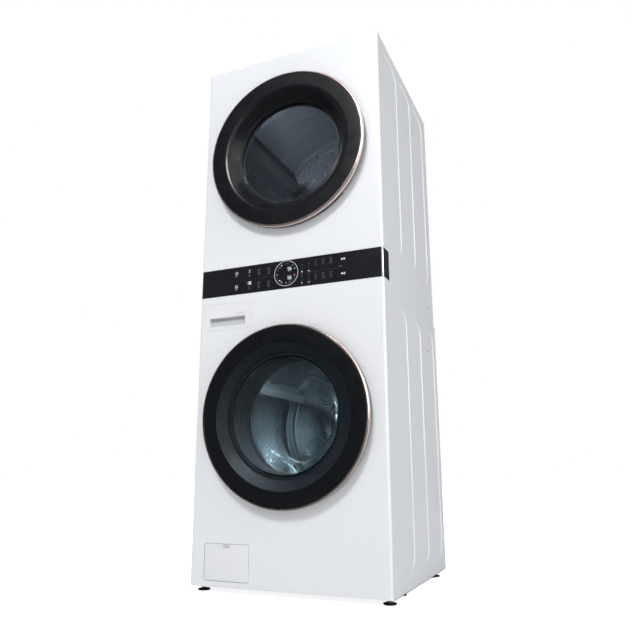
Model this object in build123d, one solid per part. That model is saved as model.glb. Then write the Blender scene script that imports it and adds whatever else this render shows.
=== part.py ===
from build123d import *
import math
import os

# Washer and dryer stacked in one cabinet. Millimetres, +Z up, the front faces -Y.
# The origin is on the floor, in the middle of the overall width and depth.

# ---- driving dimensions -------------------------------------------------------
width = 686.0
overall_height = 1889.0
foot_height = 19.0          # floor to the lower edge of the cabinet
door_proud = 38.0           # door face ahead of the front panels
washer_depth = 690.0
dryer_depth = 672.0
rear_proud = 44.0           # exhaust collar behind the washer's back
deck_z = 952.0              # joint between the washer's and the dryer's cabinets
console_z = 981.0           # lower edge of the control panel
console_height = 100.0
console_return = 60.0       # control panel's side wrap
sheet = 1.2                 # steel sheet
seam = 0.5                  # hairline gap between panels
snug = 0.3                  # clearance of a part that seats on another
slip = 0.08                 # radial running clearance of a pin in a bush
press = 2.0                 # depth of the sides' pressed fields
corner_r = 9.0              # front panels' upright corners
fold = 20.0                 # front panels' returns

front = door_proud - (door_proud + washer_depth + rear_proud) / 2
washer_back = front + washer_depth
dryer_back = front + dryer_depth
rear_end = washer_back + rear_proud
half = width / 2
inner_half = half - sheet
console_top = console_z + console_height

# ---- doors --------------------------------------------------------------------
door_r = 296.0
washer_door_z = 554.0
dryer_door_z = 1493.0
door_gap = 3.0              # door's back to the front panel
cover_t = 4.0
trim_depth = 18.0
trim_t = 5.7
washer_hole_r = 215.0
dryer_hole_r = 226.0
window_r = 193.0            # clear window in the dryer's dished door
dish_shoulder_r = 236.0
window_setback = 7.0        # window behind the front panel
bowl_rim_r = 203.0
bowl_tip_r = 150.0
bowl_depth = 96.0
bowl_t = 5.0
cone_r = 238.0              # dark cone between the washer door's cover and its bowl
cone_depth = 14.0
pane_r = 207.5              # edge of the dryer door's pane
face = front - door_proud
door_back = front - door_gap
cover_r = door_r - trim_t - snug

# ---- door hinges --------------------------------------------------------------
hinge_inset = 14.0          # pin in from the door's rim
hinge_set = 16.0            # pin behind the door's face
pin_r = 4.0
knuckle_r = 6.0
knuckle_half = 24.0
lug_t = 8.0
hook_x = 243.0              # the catch's hook, away from the hinge
hinge_x = hinge_inset - door_r
hinge_y = face + hinge_set
pocket_half = knuckle_half + lug_t + 8.0
pocket_right = hinge_x + 52.0

# ---- washer -------------------------------------------------------------------
tub_r = 294.0
tub_wall = 6.0
tub_front_y = front + 106.0
tub_split_y = front + 330.0
tub_back_y = front + 590.0
tub_mouth_r = 200.0
drum_r = 272.0
drum_wall = 1.0
drum_front_y = front + 120.0
drum_back_y = front + 556.0
drum_mouth_r = 192.0
balancer_w = 26.0
lifter_r = 214.0            # inner reach of the washer drum's lifters
lifter_wall = 3.0
shaft_r = 15.0
hub_r = 46.0
rotor_r = 132.0
rotor_y = front + 606.0
rotor_depth = 34.0
damper_x = 150.0
damper_ys = (front + 230.0, front + 470.0)
damper_r = 15.0
rod_r = 6.0
spring_x = 190.0
spring_ys = (front + 350.0, front + 500.0)
spring_r = 14.0
spring_wire_r = 1.8
lug_drop = 18.0
transit_bolts = ((-120.0, 830.0), (120.0, 830.0), (-120.0, 280.0), (120.0, 280.0))
transit_r = 9.0
inlet_xs = (-250.0, -200.0)
inlet_z = 900.0
inlet_r = 13.2              # three-quarter inch hose thread
spigot_x = 250.0
spigot_z = 870.0
spigot_r = 12.0
hose_room = 1.5             # room round a connection for the end of its hose

# ---- detergent drawer, hatch, pump --------------------------------------------
drawer_x = (-327.0, -135.0)
drawer_z = (858.0, 953.0)
drawer_depth = 290.0
drawer_face_t = 4.0
grip_x = (-303.0, -160.0)
grip_z = (872.0, 903.0)
grip_depth = 20.0
hatch_x = (-290.0, -126.0)
hatch_z = (38.0, 151.0)
hatch_t = 2.4
hatch_pin_r = 1.2
hatch_corner_r = 8.0
hatch_pivot = (front + hatch_t, hatch_z[0] + hatch_corner_r)
hatch_tab_x = (-220.0, -196.0)
hatch_notch_z = 64.0         # the surround is shallower below this, clear of the base pan
pump_x = -233.0
pump_z = 112.0
pump_r = 34.0
impeller_shaft_r = 3.0

# ---- dryer --------------------------------------------------------------------
dryer_axis_z = 1530.0
dryer_drum_r = 318.0
dryer_neck_r = 304.0
dryer_wall = 1.0
dryer_drum_y0 = front + 76.0
dryer_drum_y1 = front + 616.0
neck_w = 30.0
lifter_reach = 62.0
bulkhead_y = front + 624.0
bulkhead_low_z = 1130.0
bulkhead_top_z = 1866.0
roller_r = 35.0
roller_angle = 36.0         # from straight below the drum's axis
axle_r = 6.0
motor_x = 92.0
motor_z = 1046.0
motor_r = 58.0
motor_y = (front + 175.0, front + 330.0)
motor_shaft_r = 7.0
pulley_r = 11.0
idler_r = 24.0
idler_x = 8.0
idler_z = 1040.0
belt_y = front + 400.0
belt_w = 9.0
belt_t = 3.0
blower_r = 68.0
blower_y = (front + 92.0, front + 142.0)
duct_r = 50.8               # exhaust collar, four inches across
duct_wall = 1.0
duct_x = -80.0
duct_z = 1012.0
filter_w = 150.0
filter_y = (front + 48.0, front + 62.0)
filter_low_z = 1140.0

foot_x = 318.0
foot_ys = (front + 50.0, front + 602.0)
foot_pad_r = 20.0
stem_r = 5.0
skid_x = 326.0
skid_ys = (front + 161.0, front + 531.0)


# ---- shapes that repeat --------------------------------------------------------
def block(x0, x1, y0, y1, z0, z1):
    """A box between two corners."""
    return Pos((x0 + x1) / 2, (y0 + y1) / 2, (z0 + z1) / 2) * Box(x1 - x0, y1 - y0, z1 - z0)


def rod(radius, y0, y1, x, z):
    """A solid cylinder along Y."""
    return Pos(x, (y0 + y1) / 2, z) * Rot(90, 0, 0) * Cylinder(radius, y1 - y0)


def tube(outer, inner, y0, y1, x, z):
    """A hollow cylinder along Y."""
    return rod(outer, y0, y1, x, z) - rod(inner, y0 - 1, y1 + 1, x, z)


def post(radius, z0, z1, x, y):
    """A solid cylinder along Z."""
    return Pos(x, y, (z0 + z1) / 2) * Cylinder(radius, z1 - z0)


def turned(points, x, z, rounds=()):
    """A profile of (radius, y) points turned about an axis along Y. rounds are (point, radius)."""
    profile = make_face(Polyline(*points, close=True))
    for at, radius in rounds:
        corner = profile.vertices().sort_by_distance(Vector(*points[at]))[0]
        profile = fillet(corner, radius)
    return Pos(x, 0, z) * revolve(profile, Axis.Y)


def around(shape, x, z, angles):
    """Copies of a shape turned about an axis along Y at x and z."""
    axis = Axis((x, 0, z), (0, 1, 0))
    return [shape.rotate(axis, a) for a in angles]


def group(shapes):
    """Separate solids as one node."""
    return Compound(children=list(shapes))


# ---- cabinet ---------------------------------------------------------------------
def folded_front(z0, z1, top_fold, bottom_fold):
    """A front panel with rounded upright corners and folded returns."""
    outer = block(-half, half, front, front + fold, z0, z1)
    outer = fillet(outer.edges().filter_by(Axis.Z).group_by(Axis.Y)[0], corner_r)
    low = z0 + (sheet if bottom_fold else -1)
    high = z1 - (sheet if top_fold else -1)
    inner = block(-inner_half, inner_half, front + sheet, front + fold + 1, low, high)
    inner = fillet(inner.edges().filter_by(Axis.Z).group_by(Axis.Y)[0], corner_r - sheet)
    return outer - inner


def door_ring(panel, hole_r, z):
    """Cuts the door opening and folds its edge inwards."""
    collar = tube(hole_r + sheet, hole_r, front, front + 14, 0, z)
    return panel - rod(hole_r + sheet / 2, front - 1, front + 5, 0, z) + collar


def latch_slot(z):
    return block(hook_x - 7, hook_x + 11, front - 1, front + 5, z - 14, z + 14)


def washer_front_panel():
    panel = folded_front(foot_height, console_z - seam, False, True)
    panel = door_ring(panel, washer_hole_r, washer_door_z)
    for (x0, x1), (z0, z1), r in ((drawer_x, drawer_z, drawer_face_t), (hatch_x, hatch_z, hatch_corner_r)):
        hole = block(x0 - seam, x1 + seam, front - 1, front + 5, z0 - seam, z1 + seam)
        panel -= fillet(hole.edges().filter_by(Axis.Y), r + seam)
    return panel - latch_slot(washer_door_z)


def dryer_front_panel():
    panel = folded_front(console_top + seam, overall_height, True, False)
    panel = door_ring(panel, dryer_hole_r, dryer_door_z)
    return panel - latch_slot(dryer_door_z)


def side_panel(depth, z0, z1, fields, field_z, screw):
    """A side of the cabinet with folded edges and long pressed fields."""
    back = front + depth
    start = front + fold + seam
    panel = block(inner_half, half, start, back, z0, z1)
    panel += block(half - 12, half, start, start + sheet, z0, z1)
    panel += block(half - 18, half, back - sheet, back, z0, z1)
    for y0, y1 in fields:
        centre = ((y0 + y1) / 2 + front, -(field_z[0] + field_z[1]) / 2)
        size = (y1 - y0, field_z[1] - field_z[0])
        for x, sign in ((inner_half, 1), (half, -1)):
            plane = Plane((x, 0, 0), x_dir=(0, 1, 0), z_dir=(-1, 0, 0))
            outline = plane * Pos(*centre) * RectangleRounded(*size, 52)
            pressed = extrude(outline, press, taper=50)
            panel = panel + pressed if sign > 0 else panel - pressed
    return panel - Pos(half, front + screw[0], screw[1]) * Rot(0, 90, 0) * Cylinder(6.5, 8)


def washer_side():
    fields = ((70, 257), (272, 446), (461, 650))
    return side_panel(washer_depth, foot_height, deck_z - seam / 2, fields, (72, 916), (572, 836))


def dryer_side():
    fields = ((56, 229), (244, 420), (435, 612))
    low, high = deck_z + seam / 2, overall_height - fold - seam
    return side_panel(dryer_depth, low, high, fields, (1112, 1850), (577, 1012)) - block(
        0, half + 1, front, front + console_return + seam, console_z - seam, console_top + seam)


def top_panel():
    lid = block(-half, half, front + fold + seam, dryer_back, overall_height - fold, overall_height)
    lid = fillet(lid.edges().filter_by(Axis.Y).group_by(Axis.Z)[-1], 3)
    hollow = block(-inner_half, inner_half, front + fold + seam + sheet, dryer_back - sheet,
                   overall_height - fold - 1, overall_height - sheet)
    rib_y = [front + dryer_depth * k / 4 for k in (1, 2, 3)]
    ribs = [block(-inner_half, inner_half, y - 8, y + 8, overall_height - 9, overall_height - sheet)
            for y in rib_y]
    return (lid - hollow) + ribs


def stacking_deck():
    """The plate between the two cabinets, with a rim and the hangers for the tub's springs."""
    edge = inner_half - snug
    y0, y1 = front + fold + 2 + sheet, dryer_back - sheet - snug
    top = deck_z
    deck = block(-edge, edge, y0, y1, top - 2, top)
    deck += block(-edge, -edge + 2, y0, y1, top - 2, top + 22)
    deck += block(edge - 2, edge, y0, y1, top - 2, top + 22)
    deck += block(motor_x - 40, motor_x + 40, motor_y[0] + 20, motor_y[1] - 20, top, motor_z - motor_r + 8)
    deck -= rod(motor_r + snug, motor_y[0] - 5, motor_y[1] + 5, motor_x, motor_z)
    hangers = [block(s * spring_x - 6, s * spring_x + 6, y - 3, y + 3, top - 22, top - 2)
               for s in (-1, 1) for y in spring_ys]
    return deck + hangers


def base_pan():
    """The dark pan under the washer, with the feet's bosses and four skids."""
    edge = inner_half - snug
    low = foot_height - 2.5
    y0, y1 = front + fold + 2 + sheet, washer_back - sheet - snug
    pan = block(-edge, edge, y0, y1, low, low + 42)
    pan -= block(-edge + 2, edge - 2, y0 + 2, y1 - 2, low + 2, low + 50)
    pan += [post(14, low, low + 16, s * foot_x, y) for s in (-1, 1) for y in foot_ys]
    pan -= [post(stem_r + snug, low - 1, low + 60, s * foot_x, y) for s in (-1, 1) for y in foot_ys]
    pan += [post(11, low - 9, low, s * skid_x, y) for s in (-1, 1) for y in skid_ys]
    pan += [post(damper_r + 6, low, low + 8, s * damper_x, y) for s in (-1, 1) for y in damper_ys]
    pan += block(pump_x - 30, pump_x + 30, front + 60, front + 150, low, pump_z - pump_r - snug)
    return pan


def washer_rear_cover():
    """The washer's back, with the raised round cover over the motor and the transit bolt holes."""
    edge = inner_half - snug
    y1 = washer_back - sheet - snug
    low, high = foot_height + 44, deck_z - 2 - snug
    panel = block(-edge, edge, y1 - sheet, y1, low, high)
    dome_r = 215.0
    panel -= rod(dome_r - 2, y1 - 5, y1 + 5, 0, washer_door_z)
    panel += turned([(0, y1 + 11), (dome_r - 22, y1 + 11), (dome_r, y1), (dome_r, y1 - sheet),
                     (dome_r - 23, y1 + 11 - sheet), (0, y1 + 11 - sheet)], 0, washer_door_z)
    for x, z in transit_bolts:
        panel -= rod(transit_r, y1 - 5, y1 + 5, x, z)
    for x in inlet_xs:
        panel -= rod(inlet_r + hose_room, y1 - 5, y1 + 5, x, inlet_z)
    return panel - rod(spigot_r + hose_room, y1 - 5, y1 + 5, spigot_x, spigot_z)


def transit_caps():
    """Round plugs in the transit bolt holes."""
    y1 = washer_back - sheet - snug
    outer = transit_r - snug
    cap = turned([(0, y1 + 4), (transit_r + 4, y1 + 4), (transit_r + 5, y1), (outer, y1), (outer, y1 - 12),
                  (outer - 2, y1 - 12), (outer - 2, y1 + 2), (0, y1 + 2)], 0, 0)
    return group([Pos(x, 0, z) * cap for x, z in transit_bolts])


def dryer_rear_panel():
    """The dryer's back, with louvres, the exhaust hole and the terminal block's cover."""
    edge = half - 18 - seam
    y0, y1 = dryer_back - sheet, dryer_back
    panel = block(-edge, edge, y0, y1, deck_z + seam, overall_height - fold - seam)
    panel -= rod(duct_r + 1, y0 - 1, y1 + 1, duct_x, duct_z)
    for k in range(7):
        z = 1130 + k * 22
        panel -= block(150, 280, y0 - 1, y1 + 1, z, z + 9)
        panel += block(150, 280, y1 - 0.2, y1 + 7, z + 8, z + 10)
    box = block(170, 280, y1 - 0.2, y1 + 26, 985, 1065)
    box -= block(173, 277, y1 - 1, y1 + 23, 988, 1062)
    box -= post(11, 980, 990, 225, y1 + 13)
    return panel + box


def cord_gland():
    """The bush in the terminal block's cover that the power cord would pass through."""
    y = dryer_back + 13
    return post(10.7, 980, 991, 225, y) + post(12.9, 977, 985, 225, y) - post(7, 970, 1000, 225, y)


# ---- control panel ------------------------------------------------------------------
def control_glass():
    """The glossy strip that wraps round both front corners."""
    t = 3.0
    outer = block(-half, half, front - 1, front + console_return, console_z, console_top)
    outer = fillet(outer.edges().filter_by(Axis.Z).group_by(Axis.Y)[0], corner_r)
    inner = block(-half + t, half - t, front - 1 + t, front + console_return + 1, console_z - 1, console_top + 1)
    return outer - fillet(inner.edges().filter_by(Axis.Z).group_by(Axis.Y)[0], corner_r - t)


def control_housing():
    """The plastic channel behind the glass."""
    y0 = front + 2 + snug
    z0, z1 = console_z + 2, console_top - 2
    edge = half - 3 - snug
    shell = block(-edge + 8, edge - 8, y0 + 10, y0 + 36, z0, z1)
    shell -= block(-edge + 11, edge - 11, y0 + 9, y0 + 33, z0 + 3, z1 - 3)
    lips = [block(s * (edge - 14) - 6, s * (edge - 14) + 6, y0, y0 + 12, z0, z1) for s in (-1, 1)]
    return shell + lips


def control_board():
    """The circuit board with its display module and relays."""
    y0 = front + 2 + snug
    z = console_z + 53
    board = block(-255, 255, y0 + 12, y0 + 13.6, console_z + 10, console_top - 10)
    board += rod(42, y0, y0 + 12, -4, z)
    board += [block(x - 9, x + 9, y0 + 13, y0 + 27, z - 40, z - 22) for x in range(-220, 221, 40)]
    board += [block(x - 20, x + 20, y0 + 13, y0 + 32.7, z - 12, z + 22) for x in (-180, 0, 180)]
    return board


# ---- doors -------------------------------------------------------------------------
def hinge_pocket(z):
    return block(-door_r - 1, pocket_right, face + cover_t + snug + 2.5, front, z - pocket_half, z + pocket_half)


def grip_scoop(z):
    """The hollow behind the rim that fingers reach into, on the side away from the hinge."""
    scoop = Pos(0, 0, z) * revolve(
        make_face(Polyline((door_r - 34, door_back + 1), (door_r + 1, door_back + 1),
                           (door_r + 1, door_back - 12), (door_r - 34, door_back - 12), close=True)),
        Axis.Y, 40)
    return scoop.rotate(Axis((0, 0, z), (0, 1, 0)), 4)


def trim_ring(z):
    y0, y1 = face + 1, face + trim_depth
    inner = door_r - trim_t
    return turned([(inner, y0), (door_r - 2.5, y0), (door_r, y0 + 2.5), (door_r, y1 - 0.8),
                   (door_r - 0.8, y1), (inner, y1)], 0, z)


def hollow_frame(z, web_r, plate_r):
    """The door's moulded body: a rim wall, a web behind the cover and a back plate."""
    y0 = face + cover_t + snug
    rim = turned([(cover_r - 6, face + trim_depth + snug), (door_r - 1, face + trim_depth + snug),
                  (door_r - 1, door_back - 6), (door_r - 7, door_back), (plate_r, door_back),
                  (plate_r, door_back - 3), (cover_r - 8, door_back - 3),
                  (cover_r - 6, door_back - 7)], 0, z)
    web = turned([(web_r, y0), (cover_r - 2, y0), (cover_r - 2, face + trim_depth + 2),
                  (cover_r - 5, face + trim_depth + 2), (cover_r - 5, y0 + 2.5), (web_r, y0 + 2.5)], 0, z)
    frame = rim + web
    lip_y = door_back - 14
    lining = turned([(door_r - 37, door_back), (door_r - 34, door_back), (door_r - 34, lip_y + 2),
                     (door_r - 1, lip_y + 2), (door_r - 1, lip_y), (door_r - 37, lip_y)], 0, z)
    return frame - grip_scoop(z) + (lining & grip_sector(z))


def grip_sector(z):
    sector = Pos(0, 0, z) * revolve(
        make_face(Polyline((door_r - 37, door_back), (door_r - 1, door_back),
                           (door_r - 1, door_back - 14), (door_r - 37, door_back - 14), close=True)),
        Axis.Y, 42)
    return sector.rotate(Axis((0, 0, z), (0, 1, 0)), 3)


def washer_door_frame():
    z = washer_door_z
    y0 = face + cover_t + snug
    frame = hollow_frame(z, cone_r, bowl_rim_r - 5) - hinge_pocket(z)
    frame += turned([(cone_r, y0), (cone_r + 3, y0), (bowl_rim_r + 5, y0 + cone_depth + 1),
                     (bowl_rim_r + 5, door_back), (bowl_rim_r + 2, door_back),
                     (bowl_rim_r + 2, y0 + cone_depth)], 0, z)
    return frame + turned([(bowl_rim_r - 8, door_back - 12), (bowl_rim_r + 3, door_back - 12),
                           (bowl_rim_r + 3, door_back - 9 - snug), (bowl_rim_r - 8, door_back - 9 - snug)], 0, z)


def washer_door_cover():
    """The tinted outer cover, very slightly domed."""
    z = washer_door_z
    return turned([(0, face), (60, face), (cover_r - 90, face + 0.4), (cover_r - 3, face + 1.2),
                   (cover_r, face + 2.4), (cover_r, face + cover_t), (0, face + cover_t)], 0, z)


def washer_door_bowl():
    """The thick glass bowl that reaches into the drum's mouth."""
    z = washer_door_z
    y0 = door_back - 9
    tip_y = front + bowl_depth
    step = bowl_rim_r - 10
    return turned([(0, tip_y), (bowl_tip_r, tip_y), (step, front + 22), (step + 2, y0 + 5.7),
                   (bowl_rim_r + 1, y0 + 5.7), (bowl_rim_r + 1, y0), (step - 4, y0),
                   (step - bowl_t - 1, front + 20), (bowl_tip_r - bowl_t, tip_y - bowl_t),
                   (0, tip_y - bowl_t)], 0, z, rounds=((1, 24), (8, 19)))


def dryer_door_frame():
    z = dryer_door_z
    end = front + window_setback + 14
    plate_r = dish_shoulder_r - 8
    shell = hollow_frame(z, dish_shoulder_r + 14, plate_r)
    shell += turned([(pane_r + 9.5, door_back - 3), (pane_r + 1, front + 3), (pane_r + 1, end), (pane_r + 5, end),
                     (pane_r + 5, front + 1), (pane_r + 8.5, door_back), (plate_r + 2, door_back),
                     (plate_r + 2, door_back - 3)], 0, z)
    shell += tube(pane_r + 2.5, window_r - 7, end - 3, end, 0, z)
    return shell - hinge_pocket(z)


def dryer_door_dish():
    """The deep glossy dish in front of the dryer's window."""
    z = dryer_door_z
    seat = front + window_setback
    return turned([(cover_r, face + 0.6), (dish_shoulder_r, face + 1.6), (window_r + 8, seat - 6),
                   (window_r, seat), (window_r, seat + 3.5), (pane_r - 0.5, seat + 3.5), (pane_r - 0.5, seat - 4),
                   (dish_shoulder_r + 6, face + cover_t), (cover_r, face + cover_t)], 0, z,
                  rounds=((1, 13), (2, 8), (7, 10)))


def dryer_door_window():
    """The inner pane, slightly domed towards the drum."""
    z = dryer_door_z
    y0 = front + window_setback + 3.5 + snug
    flat = window_r - 43
    return turned([(0, y0 + 2), (40, y0 + 2), (flat, y0), (pane_r, y0), (pane_r, y0 + 4), (flat, y0 + 5),
                   (40, y0 + 7), (0, y0 + 7)], 0, z)


def hinge_arm(z):
    """The moving leaf: a knuckle on the pin and a plate screwed behind the door's web."""
    web_back = face + cover_t + snug + 2.5
    leaf = block(hinge_x, hinge_x + 40, web_back, web_back + 4, z - knuckle_half, z + knuckle_half)
    leaf += block(hinge_x - 4, hinge_x + 4, web_back, hinge_y, z - knuckle_half, z + knuckle_half)
    leaf += post(knuckle_r, z - knuckle_half, z + knuckle_half, hinge_x, hinge_y)
    return leaf - post(pin_r + slip, z - 50, z + 50, hinge_x, hinge_y)


def hinge_bracket(z):
    """The fixed leaf on the front panel: two bent lugs that hold the pin."""
    plate_x = (hinge_x + 18, hinge_x + 44)
    low, high = z - knuckle_half - lug_t - snug, z + knuckle_half + lug_t + snug
    bracket = block(*plate_x, front - 2.6, front, low, high)
    for z0 in (low, high - lug_t):
        bracket += post(knuckle_r, z0, z0 + lug_t, hinge_x, hinge_y)
        bracket += block(hinge_x, plate_x[1] - 6, hinge_y - 3, hinge_y + 3, z0, z0 + lug_t)
        bracket += block(plate_x[1] - 16, plate_x[1] - 6, hinge_y - 3, front, z0, z0 + lug_t)
    return bracket + post(pin_r, low - 1.5, high + 1.5, hinge_x, hinge_y)


def door_hook(z):
    """The hook that the catch holds."""
    hook = block(hook_x - 2, hook_x + 2, door_back, front + 17, z - 7, z + 7)
    hook += block(hook_x - 4, hook_x + 2, front + 12, front + 17, z - 7, z + 7)
    return hook + block(hook_x - 7, hook_x + 9, door_back, door_back + 1.5, z - 16, z + 16)


def door_catch(z):
    """The catch behind the front panel, with its slot for the hook."""
    y0 = front + sheet + snug
    case = block(hook_x - 12, hook_x + 27, y0, front + 38, z - 38, z + 38)
    case -= block(hook_x - 9, hook_x + 13, front, front + 30, z - 14.5, z + 14.5)
    return case + block(hook_x + 15, hook_x + 25, front + 20, front + 46, z + 8, z + 30)


# ---- washer ------------------------------------------------------------------------
def door_gasket():
    """The rubber bellows between the front panel and the tub."""
    r0 = washer_hole_r - snug
    y = front
    return turned([(r0, y + 1), (r0, y + 15), (r0 + 7, y + 15), (r0 + 7, y + 21), (r0 - 2, y + 24),
                   (r0 - 2, y + 44), (r0 - 13, y + 50), (r0 - 4, y + 60), (tub_mouth_r + 7, y + 76),
                   (tub_mouth_r - snug, y + 84), (tub_mouth_r - snug, tub_front_y + 8),
                   (tub_mouth_r - 4, tub_front_y + 8), (tub_mouth_r - 4, y + 82),
                   (tub_mouth_r + 2, y + 74), (r0 - 9, y + 60), (r0 - 18, y + 50), (r0 - 6, y + 42),
                   (r0 - 6, y + 26), (r0 - 17, y + 28), (r0 - 18, y + 24), (r0 - 5, y + 18),
                   (r0 - 5, y + 1)], 0, washer_door_z)


def tub_lugs(y_from, y_to):
    """Lugs under the tub for the dampers, and on top for the springs, between two depths."""
    z = washer_door_z
    lugs = []
    for s in (-1, 1):
        for y in damper_ys:
            if y_from < y < y_to:
                low = z - math.sqrt(tub_r ** 2 - damper_x ** 2) - lug_drop
                lugs.append(block(s * damper_x - 13, s * damper_x + 13, y - 12, y + 12, low, low + 34))
        for y in spring_ys:
            if y_from < y < y_to:
                top = z + math.sqrt(tub_r ** 2 - spring_x ** 2) + lug_drop
                lugs.append(block(s * spring_x - 9, s * spring_x + 9, y - 5, y + 5, top - 34, top))
    core = rod(tub_r - tub_wall / 2, y_from, y_to, 0, z)
    return [lug - core for lug in lugs]


def tub_front():
    z = washer_door_z
    inner = tub_r - tub_wall
    shell = turned([(tub_mouth_r, tub_front_y - 20), (tub_mouth_r + 5, tub_front_y - 20),
                    (tub_mouth_r + 5, tub_front_y), (tub_r, tub_front_y), (tub_r, tub_split_y - snug),
                    (inner, tub_split_y - snug), (inner, tub_front_y + tub_wall),
                    (tub_mouth_r, tub_front_y + tub_wall)], 0, z)
    return shell + tub_lugs(tub_front_y, tub_split_y)


def tub_rear():
    z = washer_door_z
    inner = tub_r - tub_wall
    back = tub_back_y
    shell = turned([(tub_r, tub_split_y), (tub_r, back), (hub_r, back), (hub_r, back + 12),
                    (shaft_r + 14, back + 12), (shaft_r + 14, back - 24), (hub_r, back - 24),
                    (hub_r + 8, back - tub_wall), (inner, back - tub_wall), (inner, tub_split_y)], 0, z)
    ribs = around(block(hub_r - 4, tub_r - 2, back - 1, back + 8, z - 3, z + 3), 0, z, range(0, 360, 30))
    return shell + tub_lugs(tub_split_y, back) + ribs


def drum_bearings():
    z = washer_door_z
    inner = shaft_r + slip
    return [tube(shaft_r + 14, inner, y, y + 14, 0, z) for y in (tub_back_y - 23, tub_back_y - 3)]


def counterweights():
    """Concrete blocks in front of the tub, above and below its mouth."""
    z = washer_door_z
    y1 = tub_front_y - snug
    ring = tube(tub_r - 6, tub_mouth_r + 26, y1 - 42, y1, 0, z)
    upper = ring & block(-220, 220, front, y1 + 1, z + 60, z + 400)
    lower = ring & block(-220, 220, front, y1 + 1, z - 400, z - 60)
    return group([upper, lower])


def washer_drum():
    """The steel drum: a wall with rolled beads, a back plate and a rolled mouth."""
    z = washer_door_z
    y0, y1 = drum_front_y, drum_back_y
    r, t = drum_r, drum_wall
    shell = turned([(drum_mouth_r, y0), (r, y0), (r, y1), (60, y1), (60, y1 - t), (r - t, y1 - t),
                    (r - t, y0 + t), (drum_mouth_r + 4, y0 + t), (drum_mouth_r + 4, y0 + 8),
                    (drum_mouth_r, y0 + 8)], 0, z)
    shell += rod(60, y1 - t - 8, y1, 0, z)
    return shell


def drum_balancer():
    """The liquid-filled balance ring inside the drum's front."""
    z = washer_door_z
    y0 = drum_front_y + drum_wall + snug
    return tube(drum_r - drum_wall - snug, drum_r - 44, y0, y0 + balancer_w, 0, z)


def washer_lifters():
    y0, y1 = drum_front_y + balancer_w + 6, drum_back_y - drum_wall - 4
    shape = lifter(drum_r - drum_wall, lifter_r, 68, 26, 10, y0, y1, washer_door_z)
    return group(around(shape, 0, washer_door_z, lifter_angles(300)))


def lifter(base_r, tip_r, base_w, tip_w, edge_r, y0, y1, z):
    """A hollow moulded lifter that fits a drum's wall, at the top of the drum."""
    def prism(half_base, half_tip, top, a, b):
        outline = Polyline((-half_base, z + base_r + 4), (half_base, z + base_r + 4),
                           (half_tip, z + top), (-half_tip, z + top), close=True)
        solid = Pos(0, b, 0) * extrude(Plane.XZ * make_face(outline), b - a)
        return fillet(solid.edges().filter_by(Axis.Y).group_by(Axis.Z)[0], edge_r)

    t = lifter_wall
    outer = prism(base_w / 2, tip_w / 2, tip_r, y0, y1)
    inner = prism(base_w / 2 - t, tip_w / 2 - t, tip_r + t, y0 + t, y1 - t)
    return (outer - inner) & rod(base_r - 0.02, y0, y1, 0, z)


def lifter_angles(first):
    """Three angles round the drum, from the top towards +X."""
    return [first + turn for turn in (0, 120, 240)]


def drum_spider():
    """The three-armed casting behind the drum and the shaft that it carries."""
    z = washer_door_z
    y0 = drum_back_y
    arm = block(0, drum_r - 14, y0 + 0.05, y0 + 9, z - 14, z + 14)
    spider = rod(shaft_r, y0 + 0.05, rotor_y + rotor_depth + 16, 0, z)
    spider += rod(shaft_r + 12, y0 + 0.05, tub_back_y - 24 - 1, 0, z)
    return spider + around(arm, 0, z, (90, 210, 330))


def stator():
    """The wound core on the back of the tub."""
    z = washer_door_z
    y0 = tub_back_y + 12 + snug
    core = tube(74, 30, y0, y0 + 20, 0, z)
    teeth = around(block(60, rotor_r - 12, y0 + 2, y0 + 18, z - 5, z + 5), 0, z, range(0, 360, 15))
    return core + teeth


def rotor():
    """The magnet cup on the end of the shaft."""
    z = washer_door_z
    y0, y1 = rotor_y, rotor_y + rotor_depth
    cup = turned([(rotor_r - 8, y0), (rotor_r, y0), (rotor_r, y1), (shaft_r + slip / 2, y1),
                  (shaft_r + slip / 2, y1 - 6), (rotor_r - 8, y1 - 6)], 0, z)
    return cup - around(rod(13, y1 - 10, y1 + 4, 85, z), 0, z, range(0, 360, 45))


def rotor_nut():
    z = washer_door_z
    y0 = rotor_y + rotor_depth + 0.05
    nut = Pos(0, y0, z) * Rot(-90, 0, 0) * extrude(RegularPolygon(24, 6), 10)
    return nut - rod(shaft_r + slip / 2, y0 - 5, y0 + 30, 0, z)


def damper_top():
    return washer_door_z - math.sqrt(tub_r ** 2 - damper_x ** 2) - lug_drop


def damper_cylinders():
    """Friction dampers' cylinders, standing on the base pan."""
    low = foot_height - 2.5 + 8
    high = damper_top() - 70
    body = post(damper_r, low, high, damper_x, 0) - post(rod_r + slip, low + 12, high + 5, damper_x, 0)
    shapes = [Pos(0, y, 0) * body for y in damper_ys]
    return group(shapes + [mirror(s, Plane.YZ) for s in shapes])


def damper_rods():
    """The dampers' rods, pinned to the tub's lugs."""
    high = damper_top() - 0.05
    body = post(rod_r, high - 130, high, damper_x, 0) + post(rod_r + 5, high - 14, high, damper_x, 0)
    shapes = [Pos(0, y, 0) * body for y in damper_ys]
    return group(shapes + [mirror(s, Plane.YZ) for s in shapes])


def spring_span():
    low = washer_door_z + math.sqrt(tub_r ** 2 - spring_x ** 2) + lug_drop
    return low + snug, deck_z - 22 - snug


def suspension_springs():
    """Four extension springs that hang the tub from the deck."""
    low, high = spring_span()
    turns = 9
    coil_h = high - low - 4 * spring_wire_r
    path = Pos(0, 0, low + 2 * spring_wire_r) * Helix(coil_h / turns, coil_h, spring_r)
    start = path @ 0
    wire = sweep(Plane(start, z_dir=path % 0) * Circle(spring_wire_r), path, is_frenet=True)
    caps = [post(spring_r + 1.5, z0, z0 + 2 * spring_wire_r + 0.4, 0, 0) for z0 in (low, high - 2 * spring_wire_r - 0.4)]
    coil = wire + caps
    shapes = [Pos(s * spring_x, y, 0) * coil for s in (-1, 1) for y in spring_ys]
    return group(shapes)


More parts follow.
